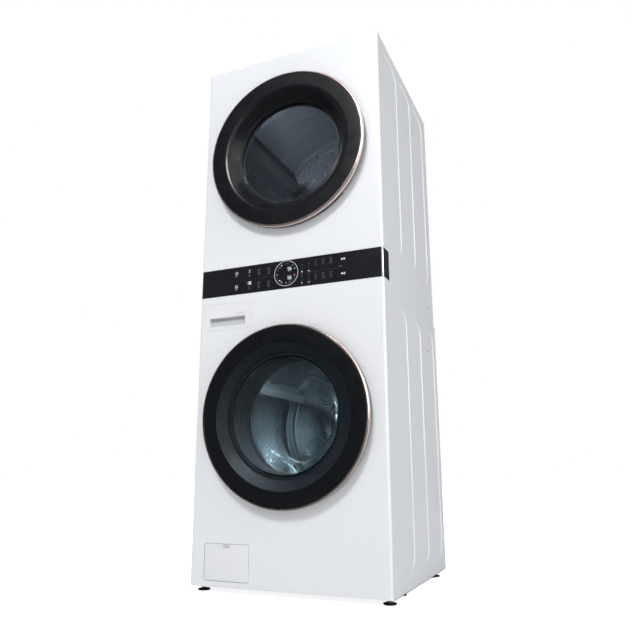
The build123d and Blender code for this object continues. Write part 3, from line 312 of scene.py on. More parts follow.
def rolled_metal(name, colour, rough, axis=2, along=2400.0, vary=0.05):
    """Sheet or bar metal with straight rolling lines along one axis."""
    n = Nodes(name)
    lines = [n.math("MULTIPLY", a, 8.0 if k == axis else along) for k, a in enumerate(n.axes())]
    streak = n.noise(1.0, 3, n.vector(*lines))
    n.put("Base Color", n.mix(streak, *tones(colour, vary)))
    n.put("Roughness", n.spread(n.noise(14, 4), rough - 0.05, rough + 0.07))
    n.put("Metallic", 1.0)
    n.bump(streak, 0.08, 0.0002)
    return n.material


def concrete(name):
    n = Nodes(name)
    n.put("Base Color", n.mix(n.noise(60, 6), (0.30, 0.29, 0.275), (0.46, 0.45, 0.43)))
    n.put("Roughness", n.spread(n.noise(90), 0.82, 0.95))
    n.bump(n.math("MULTIPLY_ADD", n.cells(240)["Distance"], 0.6, n.noise(300, 5)), 0.5, 0.001)
    return n.material


def filter_mesh(name):
    """White plastic with the fine square weave of a lint screen."""
    n = Nodes(name)
    axes = n.axes()
    waves = [n.math("ABSOLUTE", n.math("SINE", n.math("MULTIPLY", axes[k], 2600.0))) for k in (0, 2)]
    weave = n.math("MAXIMUM", *waves)
    n.put("Base Color", n.mix(weave, (0.42, 0.44, 0.46), (0.74, 0.75, 0.76)))
    n.put("Roughness", n.spread(n.noise(30), 0.42, 0.55))
    n.bump(weave, 0.3, 0.0004)
    return n.material


def glass(name, tint, shadow=0.95, rough_low=0.0, rough_high=0.035, ior=1.47):
    """Glass with faint smears, which lets light through to what is behind it."""
    n = Nodes(name)
    n.put("Base Color", n.mix(n.noise(5), *tones(tint, 0.02)))
    n.put("Roughness", n.spread(n.noise(11, 5), rough_low, rough_high))
    n.put("Transmission Weight", 1.0)
    n.put("IOR", ior)
    clear = n.new("BsdfTransparent", (shadow, shadow, shadow))
    shaded = n.new("LightPath").outputs["Is Shadow Ray"]
    n.show(n.new("MixShader", shaded, n.shader.outputs[0], clear.outputs[0]))
    return n.material


def lit(name, colour, strength):
    """A printed or lit mark on the control strip."""
    n = Nodes(name)
    n.put("Base Color", n.mix(n.noise(260), *tones(colour, 0.06)))
    n.put("Roughness", n.spread(n.noise(90), 0.35, 0.5))
    n.put("Emission Color", colour)
    n.put("Emission Strength", strength)
    return n.material


PAINT = {
    "white": enamel("white_enamel", (0.84, 0.855, 0.885)),
    "white_plastic": surface("white_plastic", (0.82, 0.83, 0.86), 0.36, vary=0.012, grain=0.05),
    # painted shade: grey for the shade inside the drawer's grip and the hatch tab's notch
    "grip_shade_grey": surface("grip_shade_grey", (0.60, 0.61, 0.64), 0.42, vary=0.03),
    "galvanised": spangled("galvanised", (0.60, 0.62, 0.64), 0.40),
    "bright_zinc": spangled("bright_zinc", (0.74, 0.76, 0.79), 0.34, scale=90, vary=0.06),
    "dark_pan": surface("dark_pan", (0.055, 0.058, 0.062), 0.55, grain=0.2, grain_scale=600),
    "strip_black": surface("strip_black", (0.011, 0.012, 0.015), 0.22, rough_vary=0.03, vary=0.1,
                           grain=0.012, grain_scale=300, coat=0.3),
    "door_gloss": surface("door_gloss", (0.005, 0.0055, 0.008), 0.30, rough_vary=0.04, vary=0.12,
                          grain=0.014, grain_scale=260, coat=0.3, specular=0.35),
    "door_plastic": surface("door_plastic", (0.016, 0.020, 0.026), 0.40, vary=0.08, grain=0.2,
                            grain_scale=1100),
    "grey_plastic": surface("grey_plastic", (0.46, 0.47, 0.49), 0.50, grain=0.15, grain_scale=1200),
    "pale_plastic": surface("pale_plastic", (0.66, 0.67, 0.69), 0.42, grain=0.12, grain_scale=1200),
    "lifter_grey": surface("lifter_grey", (0.30, 0.32, 0.35), 0.36, grain=0.1, grain_scale=800),
    "blue_plastic": surface("blue_plastic", (0.05, 0.17, 0.42), 0.35, grain=0.08),
    "red_plastic": surface("red_plastic", (0.45, 0.04, 0.03), 0.35, grain=0.08),
    "rubber": surface("rubber", (0.13, 0.135, 0.145), 0.62, vary=0.10, blotch=14, grain=0.3,
                      grain_scale=1500),
    "black_rubber": surface("black_rubber", (0.022, 0.022, 0.024), 0.68, vary=0.15, blotch=30,
                            grain=0.35, grain_scale=1400),
    "concrete": concrete("concrete"),
    "motor_paint": surface("motor_paint", (0.035, 0.036, 0.040), 0.42, grain=0.2),
    "copper_wire": rolled_metal("copper_wire", (0.72, 0.34, 0.18), 0.35, axis=1),
    "zinc": rolled_metal("zinc", (0.58, 0.59, 0.61), 0.34),
    "chrome": rolled_metal("chrome", (0.70, 0.71, 0.73), 0.22),
    "washer_trim": turned_metal("washer_trim", (0.80, 0.655, 0.60), 0.26, 0, WASHER_Z),
    "dryer_trim": turned_metal("dryer_trim", (0.80, 0.655, 0.60), 0.26, 0, DRYER_Z),
    "washer_drum": turned_metal("washer_drum", (0.62, 0.65, 0.68), 0.17, 0, WASHER_Z, 900),
    "dryer_drum": turned_metal("dryer_drum", (0.60, 0.63, 0.67), 0.36, 0, DRUM_Z, 900),
    "filter_mesh": filter_mesh("filter_mesh"),
    "tinted_glass": glass("tinted_glass", (0.66, 0.74, 0.78), 0.8),
    "clear_glass": glass("clear_glass", (0.90, 0.95, 0.95)),
    "window_glass": glass("window_glass", (0.80, 0.84, 0.88)),
    "mark_white": lit("mark_white", (0.92, 0.94, 0.96), 0.35),
    "mark_dim": lit("mark_dim", (0.17, 0.18, 0.20), 0.0),
    "mark_red": lit("mark_red", (0.75, 0.06, 0.13), 0.30),
    "mark_green": lit("mark_green", (0.80, 0.95, 0.90), 0.55),
    "mark_grey": lit("mark_grey", (0.40, 0.42, 0.44), 0.0),
    # painted sheen: the silver dial ring glows faintly in place of a metal's shine
    "dial_silver_sheen": lit("dial_silver_sheen", (0.52, 0.54, 0.57), 0.12),
    # painted shade: near black for sheets put where only shade is seen, in the lid gaps and in the drum
    # back's holes
    "painted_shade_black": surface("painted_shade_black", (0.012, 0.013, 0.015), 0.7, vary=0.2),
}

CAD_PAINT = {
    "white": ("washer_front_panel", "dryer_front_panel", "washer_side_left", "washer_side_right",
              "dryer_side_left", "dryer_side_right", "top_panel"),
    "white_plastic": ("drawer_front",),
    "galvanised": ("washer_rear_cover", "dryer_rear_panel", "stacking_deck", "dryer_ducts"),
    "bright_zinc": ("dryer_rear_bulkhead", "dryer_front_bulkhead"),
    "dark_pan": ("base_pan",),
    "strip_black": ("control_glass",),
    "grey_plastic": ("control_module", "tub_front", "tub_rear", "drain_pump", "pump_impeller",
                     "water_connections"),
    "pale_plastic": ("dispenser_box", "drawer_tray", "filter_plug", "washer_drum_mouldings"),
    "lifter_grey": ("dryer_lifters",),
    "door_plastic": ("washer_door_frame", "dryer_door_frame"),
    "zinc": ("door_brackets_and_catches", "washer_door_metalwork", "dryer_door_metalwork",
             "drum_spider", "rotor", "motor_rotor", "suspension_springs"),
    "chrome": ("damper_rods", "damper_cylinders"),
    "concrete": ("counterweights",),
    "copper_wire": ("stator",),
    "motor_paint": ("dryer_motor",),
    "black_rubber": ("drum_belt", "drum_roller_left", "drum_roller_right", "idler_pulley"),
    "filter_mesh": ("lint_filter",),
}


def paint_frame():
    """Gives each CAD node that stays its finish."""
    for paint, nodes in CAD_PAINT.items():
        for name in nodes:
            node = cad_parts[name]
            for material_slot in node.material_slots:
                material_slot.material = PAINT[paint]


# ---- shapes that repeat
class Shape:
    """Vertices and faces of one piece. Each face has the number of its material."""

    def __init__(self):
        self.points, self.faces, self.paints = [], [], []

    def add(self, points, faces, paint=0):
        start = len(self.points)
        self.points += points
        self.faces += [tuple(start + k for k in face) for face in faces]
        self.paints += [paint] * len(faces)

    def piece(self, name, body, paints, slot=None, replaces=(), smooth=35):
        """The shape as a mesh that rides on a body."""
        mesh = bpy.data.meshes.new(name)
        mesh.from_pydata(self.points, [], self.faces)
        mesh.polygons.foreach_set("material_index", self.paints)
        tidy = bmesh.new()
        tidy.from_mesh(mesh)
        bmesh.ops.recalc_face_normals(tidy, faces=tidy.faces)
        tidy.to_mesh(mesh)
        tidy.free()
        for paint in paints:
            mesh.materials.append(PAINT[paint])
        mesh.shade_smooth()
        mesh.set_sharp_from_angle(angle=math.radians(smooth))
        made = bpy.data.objects.new(name, mesh)
        bpy.context.scene.collection.objects.link(made)
        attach(made, body)
        if replaces:
            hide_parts(*replaces)
        return made


def rounded(points, steps=5):
    """A closed profile of (a, b) or (a, b, radius) points, with an arc where a radius is given."""
    made = []
    for k, point in enumerate(points):
        here = Vector(point[:2])
        if len(point) < 3 or point[2] <= 0:
            made.append(tuple(here))
            continue
        before = (Vector(points[k - 1][:2]) - here)
        after = (Vector(points[(k + 1) % len(points)][:2]) - here)
        half = before.angle(after) / 2
        reach = min(point[2] / math.tan(half), 0.48 * before.length, 0.48 * after.length)
        radius = reach * math.tan(half)
        centre = here + (before.normalized() + after.normalized()).normalized() * radius / math.sin(half)
        start = here + before.normalized() * reach - centre
        end = here + after.normalized() * reach - centre
        turn = start.angle_signed(end)
        for step in range(steps + 1):
            arm = start.copy()
            arm.rotate(Matrix.Rotation(-turn * step / steps, 2))
            made.append(tuple(centre + arm))
    return made


def lathe(shape, profile, x, z, paint=0, segments=ROUND, upright=False):
    """Turns a closed profile of (radius, along) points about an axis along Y, or about Z if upright."""
    rings = []
    for radius, along in profile:
        count = 1 if radius < 1e-6 else segments
        ring = []
        for k in range(count):
            a = 2 * math.pi * k / segments
            u, v = radius * math.sin(a), radius * math.cos(a)
            ring.append((x + u, z + v, along) if upright else (x + u, along, z + v))
        rings.append(ring)
    points, starts = [], []
    for ring in rings:
        starts.append(len(points))
        points += ring
    faces = []
    for k in range(len(rings)):
        n = (k + 1) % len(rings)
        one, two = len(rings[k]), len(rings[n])
        if one == 1 and two == 1:
            continue
        for i in range(segments):
            j = (i + 1) % segments
            face = [starts[k] + (i if one > 1 else 0), starts[k] + (j if one > 1 else 0),
                    starts[n] + (j if two > 1 else 0), starts[n] + (i if two > 1 else 0)]
            faces.append(tuple(dict.fromkeys(face)))
    shape.add(points, faces, paint)


def scaled(rows, u=0.0, v=0.0):
    """Rows in millimetres as metres, measured from (u, v). A third number is a radius."""
    return [(u + row[0] * MM, v + row[1] * MM, *(radius * MM for radius in row[2:])) for row in rows]


def on_front(u, v, w):
    return (u, w, v)


def on_side(u, v, w):
    return (w, u, v)


def on_floor(u, v, w):
    return (u, v, w)


def stack(shape, rings, paint=0):
    """A solid through rings with the same number of points, closed at both ends."""
    n = len(rings[0])
    last = (len(rings) - 1) * n
    faces = [tuple(range(n))[::-1], tuple(range(last, last + n))]
    faces += [(k + i, k + (i + 1) % n, k + n + (i + 1) % n, k + n + i)
              for k in range(0, last, n) for i in range(n)]
    shape.add([point for ring in rings for point in ring], faces, paint)


def prism(shape, outline, low, high, place=on_front, paint=0):
    """A straight solid on a convex outline."""
    stack(shape, [[place(u, v, w) for u, v in outline] for w in (low, high)], paint)


def ribbon(shape, inner, outer, low, high, place=on_front, paint=0, closed=False):
    """A straight solid between two lines with the same number of points."""
    n = len(inner)
    rows = [[place(u, v, w) for u, v in line] for line, w in
            ((inner, low), (outer, low), (outer, high), (inner, high))]
    faces = []
    for k in range(n if closed else n - 1):
        j = (k + 1) % n
        faces += [(r * n + k, r * n + j, (r + 1) % 4 * n + j, (r + 1) % 4 * n + k) for r in range(4)]
    if not closed:
        faces += [tuple(r * n for r in range(4)), tuple(r * n + n - 1 for r in (3, 2, 1, 0))]
    shape.add([p for row in rows for p in row], faces, paint)


def rounded_rectangle(u0, u1, v0, v1, radius, steps=5):
    return rounded([(u0, v0, radius), (u1, v0, radius), (u1, v1, radius), (u0, v1, radius)], steps)


def arc_line(u, v, radius, start, end, steps):
    """Points along an arc. Angles are in degrees from the top, clockwise."""
    turns = [math.radians(start + (end - start) * k / steps) for k in range(steps + 1)]
    return [(u + radius * math.sin(a), v + radius * math.cos(a)) for a in turns]


def bar(shape, low, high, bevel, place=on_floor, paint=0):
    """A box with softened edges: two chamfered layers and a middle."""
    (u0, v0, w0), (u1, v1, w1) = low, high
    layers = [(bevel, w0), (0, w0 + bevel), (0, w1 - bevel), (bevel, w1)]
    stack(shape, [[place(u, v, w) for u, v in rounded_rectangle(u0 + d, u1 - d, v0 + d, v1 - d, bevel * 2, 3)]
                  for d, w in layers], paint)


def screw_head(shape, x, y, z, facing, radius=3.6):
    """A pan head with a recess, on a face along Y. facing is 1 towards +Y and -1 towards -Y."""
    profile = rounded(scaled([(0, 0), (radius, 0), (radius, 0.77, 0.66), (radius * 0.66, 2.2, 0.88),
                              (radius * 0.42, 2.2), (radius * 0.26, 0.77), (0, 0.66)]), 3)
    lathe(shape, [(r, y + facing * h) for r, h in profile], x, z, 0, 20)


# ---- doors
def door_trim(name, node, body, z, paint):
    """The metal ring round a door, with softened edges."""
    low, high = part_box(node)
    shape = Shape()
    lathe(shape, rounded(scaled([(-5.7, 0), (-3.4, 0, 1.5), (0, 3.4, 2)], high.x, low.y)
                         + scaled([(0, -0.8), (-0.8, 0), (-5.7, 0)], high.x, high.y)), 0, z, 0, DOOR_ROUND)
    shape.piece(name, body, [paint], "copper_trim", [node])


def washer_cover():
    """The gently domed front glass, black round its edge."""
    print_r = 0.240
    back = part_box("washer_door_cover")[1].y
    border = Shape()
    lathe(border, rounded([(COVER_R, back), *scaled([(0, 2.4, 1.4), (-3, 1.2, 3)], COVER_R, FACE),
                           (0.27, FACE + 0.8 * MM), (print_r, FACE + 0.5 * MM), (print_r, back)]),
          0, WASHER_Z, 0, DOOR_ROUND)
    border.piece("washer_cover_border", "washer_door", ["door_gloss"], "tinted_glass")
    lens = Shape()
    edge = print_r - 0.02 * MM
    dome = scaled([(180, 0.3), (120, 0.13), (60, 0.03), (0, 0)], 0, FACE)
    lathe(lens, [(0, back), (edge, back), (edge, FACE + 0.5 * MM), *dome], 0, WASHER_Z, 0, DOOR_ROUND)
    lens.piece("washer_cover_glass", "washer_door", ["tinted_glass"], "tinted_glass", ["washer_door_cover"])


def washer_bowl():
    """The thick glass bowl that reaches into the drum's mouth."""
    low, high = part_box("washer_door_bowl")
    inset, wall, tip = high.x - 11 * MM, 5 * MM, 0.150
    profile = [(0, high.y), (tip, high.y, 30 * MM), (inset, FRONT + 22 * MM, 12 * MM),
               *scaled([(2, 5.7, 1), (11, 5.7, 1.5), (11, 0, 1.5), (-4, 0, 3)], inset, low.y),
               (inset - wall - MM, FRONT + 20 * MM, 10 * MM),
               (tip - wall, high.y - wall, 25 * MM), (0, high.y - wall)]
    shape = Shape()
    lathe(shape, rounded(profile, 12), 0, WASHER_Z)
    shape.piece("washer_bowl", "washer_door", ["clear_glass"], "clear_glass", ["washer_door_bowl"])


def dryer_dish():
    """The glossy dish that slopes in from the rim and drops to the window."""
    shoulder, window, pane = 0.230, 0.193, 0.207
    back = FACE + 4 * MM
    profile = [(COVER_R, back), *scaled([(0, 1.6, 1), (-3, 0.6, 2)], COVER_R, FACE),
               (shoulder, FACE + 1.8 * MM, 26 * MM),
               *scaled([(8, 1, 9), (0, 7, 1.5), (0, 10.5)], window, FRONT),
               *scaled([(0, 10.5), (0, 3, 5)], pane, FRONT), (shoulder + 6 * MM, back, 10 * MM)]
    shape = Shape()
    lathe(shape, rounded(profile, 12), 0, DRYER_Z, 0, DOOR_ROUND)
    shape.piece("dryer_dish", "dryer_door", ["door_gloss"], "dish_black", ["dryer_door_dish"])


def dryer_window():
    """The inner pane, slightly domed towards the drum."""
    low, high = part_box("dryer_door_window")
    rim, near, far = high.x, low.y, high.y
    wall = 4 * MM
    steps = 14
    front = [(rim * k / steps, near + 2 * MM * (1 - (k / steps) ** 2)) for k in range(steps + 1)]
    rear = [(r, y + wall + MM * (1 - (r / rim) ** 2)) for r, y in front]
    shape = Shape()
    lathe(shape, front + rear[::-1], 0, DRYER_Z, 0, ROUND)
    shape.piece("dryer_window", "dryer_door", ["window_glass"], "clear_glass", ["dryer_door_window"])


def hinge_screws():
    """Screws in the fixed hinge leaves on the front panels."""
    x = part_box("door_brackets_and_catches")[0].x + 43 * MM
    shape = Shape()
    for z in (WASHER_Z, DRYER_Z):
        for dz in (-19 * MM, 0, 19 * MM):
            screw_head(shape, x, FRONT - 2.6 * MM, z + dz, -1, 3.2)
    shape.piece("hinge_screws", "root", ["chrome"], "zinc_steel")


# ---- gasket and drums
def gasket():
    """The washer's rubber bellows, with its lip, folds and drain beads."""
    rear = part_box("door_gasket")[1].y
    hole_r, mouth_r = 0.2147, 0.1997
    outer = scaled([(0, 1), (0, 15, 2), (6.5, 15.3, 2), (6.5, 21, 3), (-2, 24, 3), (-2, 44, 8),
                    (-13, 50, 5), (-4, 60, 6), (-8, 76, 5), (-15, 84, 3)], hole_r, FRONT)
    inner = scaled([(-18.7, 82, 3), (-13, 74, 4), (-9, 60, 5), (-18, 50, 4), (-6, 42, 6), (-6, 26, 3),
                    (-17, 28.5, 1.5), (-18, 24, 1.5), (-5, 18, 3), (-5, 1, 1.5)], hole_r, FRONT)
    shape = Shape()
    lathe(shape, rounded(outer + [(mouth_r, rear), (mouth_r - 3.7 * MM, rear)] + inner, 6), 0, WASHER_Z)
    bead_r = hole_r - 7 * MM
    for k in range(-3, 4):
        a = math.radians(180 + 9 * k)
        lathe(shape, rounded(scaled([(0, 30), (3, 30, 1), (3, 37, 1), (0, 37)], 0, FRONT), 3),
              bead_r * math.sin(a), WASHER_Z + bead_r * math.cos(a), 0, 16)
    shape.piece("gasket", "root", ["rubber"], "grey_rubber", ["door_gasket"])


def perforated_wall(shape, outer, inner, y0, y1, z, around, along, hole, dimple):
    """A tube with staggered rows of real holes, each at the bottom of a shallow dimple."""
    columns, pitch = 2 * around, (y1 - y0) / along
    step = hole / (outer * math.pi / around)
    edge = ((0, 0), (1, 0), (2, 0), (2, 1), (2, 2), (1, 2), (0, 2), (0, 1))
    circle = ((-0.707, -0.707), (0, -1), (0.707, -0.707), (1, 0),
              (0.707, 0.707), (0, 1), (-0.707, 0.707), (-1, 0))
    points, index, faces = [], {}, []

    def point(key, radius, column, y):
        if key not in index:
            index[key] = len(points)
            a = 2 * math.pi * column / columns
            points.append((radius * math.sin(a), y, z + radius * math.cos(a)))
        return index[key]

    def join(one, two):
        faces.extend((one[k], one[k - 7], two[k - 7], two[k]) for k in range(8))

    for row in range(along):
        centre = y0 + (row + 0.5) * pitch
        for cell in range(around):
            c = 2 * cell + row % 2
            rings = []
            for side, radius in ((0, outer), (1, inner)):
                rings.append([point((side, "hole", row, cell, k), radius, c + 1 + u * step, centre + v * hole)
                              for k, (u, v) in enumerate(circle)])
                join([point((side, 2 * row + v, (c + u) % columns), radius - dimple, c + u,
                            y0 + (row + v / 2) * pitch) for u, v in edge], rings[-1])
            join(*rings)
    for row in (0, 2 * along):
        for c in range(columns):
            n = (c + 1) % columns
            faces.append((index[(0, row, c)], index[(0, row, n)], index[(1, row, n)], index[(1, row, c)]))
    shape.add(points, faces)


def perforated_patch(shape, dark, x, y, z, radius):
    """A raised round patch in the drum's back, with rings of dark discs painted as the shade seen in holes.
    """
    rise = 5 * MM
    lathe(shape, rounded([(0, y), (radius, y), (radius - 1.5 * MM, y - rise * 0.7, 3 * MM),
                          (radius * 0.74, y - rise * 0.7, 2 * MM), (radius * 0.66, y - rise * 0.25, 2 * MM),
                          (0, y - rise * 0.45)], 4), x, z, 0, 48)
    # painted shade: each hole is a flat near-black disc, not an opening
    for ring, count in ((0.0, 1), (0.13, 6), (0.26, 12), (0.39, 18), (0.52, 24)):
        depth = y - rise * (0.45 - 0.3 * ring)
        for k in range(count):
            a = 2 * math.pi * (k + 0.5 * (count % 4)) / count
            lathe(dark, scaled([(0, 0.4), (1.5, 0.4), (1.5, -0.25), (0, -0.25)], 0, depth),
                  x + ring * radius * math.sin(a), z + ring * radius * math.cos(a), 0, 8)


DRUM_PATCH_TURNS = (-32, 58, 148, 238)


def washer_drum():
    """The perforated steel drum, with a rolled mouth and a pressed back."""
    low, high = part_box("washer_drum")
    r, y0, y1 = high.x, low.y, high.y
    mouth, z = 0.192, WASHER_Z
    shape = Shape()
    wall_start, wall_end = y0 + 12 * MM, y1 - 18 * MM
    perforated_wall(shape, r, r - MM, wall_start, wall_end, z, 108, 22, 2.3 * MM, 1.2 * MM)
    lathe(shape, rounded([*scaled([(0, 9, 0.4), (0, 0, 5)], mouth, y0), (r - 1.2 * MM, y0, 9 * MM),
                          (r - 1.2 * MM, wall_start), (r - 2.2 * MM, wall_start),
                          (r - 2.2 * MM, y0 + MM, 8 * MM), *scaled([(1, 1, 4), (1, 9, 0.4)], mouth, y0)], 6),
          0, z)
    plate = y1 - MM
    hub = scaled([(232, -3, 6), (224, 0, 5), (98, 0, 4), (90, -6, 6), (62, -9, 8), (52, -17, 6),
                  (20, -20, 6), (0, -20.5)], 0, plate)
    lathe(shape, rounded([(0, y1), *scaled([(-30, 0), (-1.2, -3, 14)], r, y1),
                          (r - 1.2 * MM, wall_end), (r - 2.2 * MM, wall_end),
                          *scaled([(-2.2, -4, 13), (-32, -1, 6)], r, y1), *hub], 6), 0, z)
    # near-black discs painted as the shade in the back's holes
    dark = Shape()
    for turn in DRUM_PATCH_TURNS:
        a = math.radians(turn)
        reach = 0.163
        perforated_patch(shape, dark, reach * math.sin(a), plate + 0.2 * MM, z + reach * math.cos(a), 0.052)
        ridge = math.radians(turn + 45)
        u, v = Vector((math.sin(ridge), math.cos(ridge))), Vector((math.cos(ridge), -math.sin(ridge)))
        sides = scaled([(100, 4.5), (215, 8), (215, -8), (100, -4.5)])
        prism(shape, [tuple(u * s + v * t + Vector((0, z))) for s, t in sides],
              plate - 3.2 * MM, plate + 0.2 * MM)
    shape.piece("washer_drum_shell", "washer_drum", ["washer_drum"], "stainless", ["washer_drum"], smooth=40)
    dark.piece("washer_drum_back_hole_shade", "washer_drum", ["painted_shade_black"], "stainless")


def dryer_drum():
    """The dryer's drum, with its rolled beads."""
    low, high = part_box("dryer_drum")
    r, y0, y1 = high.x, low.y, high.y
    neck, t = r - 14 * MM, MM
    run0, run1 = y0 + 44 * MM, y1 - 44 * MM
    line = [(neck, y0), (neck, y0 + 28 * MM), (r - 2 * MM, run0)]
    beads = 5
    pitch = (run1 - run0) / beads
    for k in range(beads):
        start = run0 + k * pitch
        line += [(r - 2 * MM, start + pitch * 0.38), (r - 6 * MM, start + pitch * 0.38 + 7 * MM),
                 (r - 6 * MM, start + pitch * 0.38 + 13 * MM), (r - 2 * MM, start + pitch * 0.38 + 20 * MM)]
    line += [(r - 2 * MM, run1), (neck, y1 - 28 * MM), (neck, y1)]
    shape = Shape()
    soft = [(a, b, 5 * MM) for a, b in line]
    soft[0], soft[-1] = line[0], line[-1]
    inside = [(a - t, b, 5 * MM) for a, b in line[::-1]]
    inside[0], inside[-1] = inside[0][:2], inside[-1][:2]
    lathe(shape, rounded(soft + inside, 4), 0, DRUM_Z)
    shape.piece("dryer_drum_shell", "dryer_drum", ["dryer_drum"], "zinc_drum", ["dryer_drum"])


# ---- control strip
INK = 0.16 * MM              # how far a printed mark stands out


class Marks:
    """Thin marks on a face along -Y, gathered by colour. Sizes are in mm, places in metres."""

    def __init__(self, face):
        self.low, self.high = face - INK, face + 0.3 * MM
        self.shapes = {}

    def solid(self, outline, colour):
        prism(self.shapes.setdefault(colour, Shape()), outline, self.low, self.high)

    def bar(self, x, z, width, height, colour, radius=None):
        radius = min(width, height) * 0.4 if radius is None else radius
        u, v = width * MM / 2, height * MM / 2
        self.solid(rounded_rectangle(x - u, x + u, z - v, z + v, radius * MM, 2), colour)

    def dot(self, x, z, radius, colour):
        self.solid(arc_line(x, z, radius * MM, 0, 337.5, 15), colour)

    def ring(self, x, z, radius, width, colour, start=0.0, end=360.0):
        closed = end - start > 359
        steps = max(6, int((end - start) / 6))
        last = end - (end - start) / (steps + 1) if closed else end
        lines = [arc_line(x, z, r * MM, start, last, steps) for r in (radius - width / 2, radius + width / 2)]
        ribbon(self.shapes.setdefault(colour, Shape()), *lines, self.low, self.high, closed=closed)

    def stroke(self, a, b, width, colour):
        a, b = Vector(a), Vector(b)
        side = (b - a).orthogonal().normalized() * width * MM / 2
        self.solid([tuple(p) for p in (a - side, b - side, b + side, a + side)], colour)

    def dashes(self, x, z, widths, colour, height=1.5, gap=0.9):
        """A run of short dashes where a panel would have a label."""
        left = x - (sum(widths) + gap * (len(widths) - 1)) * MM / 2
        for width in widths:
            self.bar(left + width * MM / 2, z, width, height, colour)
            left += (width + gap) * MM

    def column(self, x, base, rows, colour, height):
        """Dashes in rows, each at its own height over the base, in mm."""
        for dz, widths in rows:
            self.dashes(x, base + dz * MM, widths, colour, height)

    def pieces(self, name, body, slot):
        for colour, shape in self.shapes.items():
            shape.piece(f"{name}_{colour.removeprefix('mark_')}", body, [colour], slot)


SEGMENTS = {"5": "afgcd", "6": "afgedc"}


def digit(marks, x, z, figure, colour):
    """A leaning seven-segment figure."""
    w, h, stroke, lean = 2.6 * MM, 5.25 * MM, 1.25, 0.12
    lines = {"a": ((-w, h), (w, h)), "c": ((w, 0), (w, -h)), "d": ((-w, -h), (w, -h)),
             "e": ((-w, 0), (-w, -h)), "f": ((-w, h), (-w, 0)), "g": ((-w, 0), (w, 0))}
    for segment in SEGMENTS[figure]:
        a, b = (Vector((x + u + v * lean, z + v)) for u, v in lines[segment])
        trim = (b - a).normalized() * stroke * MM * 0.55
        marks.stroke(a + trim, b - trim, stroke, colour)


def power_mark(marks, x, z):
    marks.ring(x, z, 4.6, 1.1, "mark_white", 28, 332)
    marks.bar(x, z + 4.4 * MM, 1.1, 4.6, "mark_white")
    marks.dashes(x - 1 * MM, z - 10.5 * MM, (3.4, 5.2, 2.2), "mark_grey", 1.7)


def start_mark(marks, x, z):
    """A play and pause sign."""
    size = 3.6
    marks.solid(scaled([(-2 * size, -size), (-0.2 * size, 0), (-2 * size, size)], x, z), "mark_white")
    for dx in (0.45, 1.35):
        marks.bar(x + dx * size * MM, z, 1.6, 2 * size, "mark_white", 0.2)


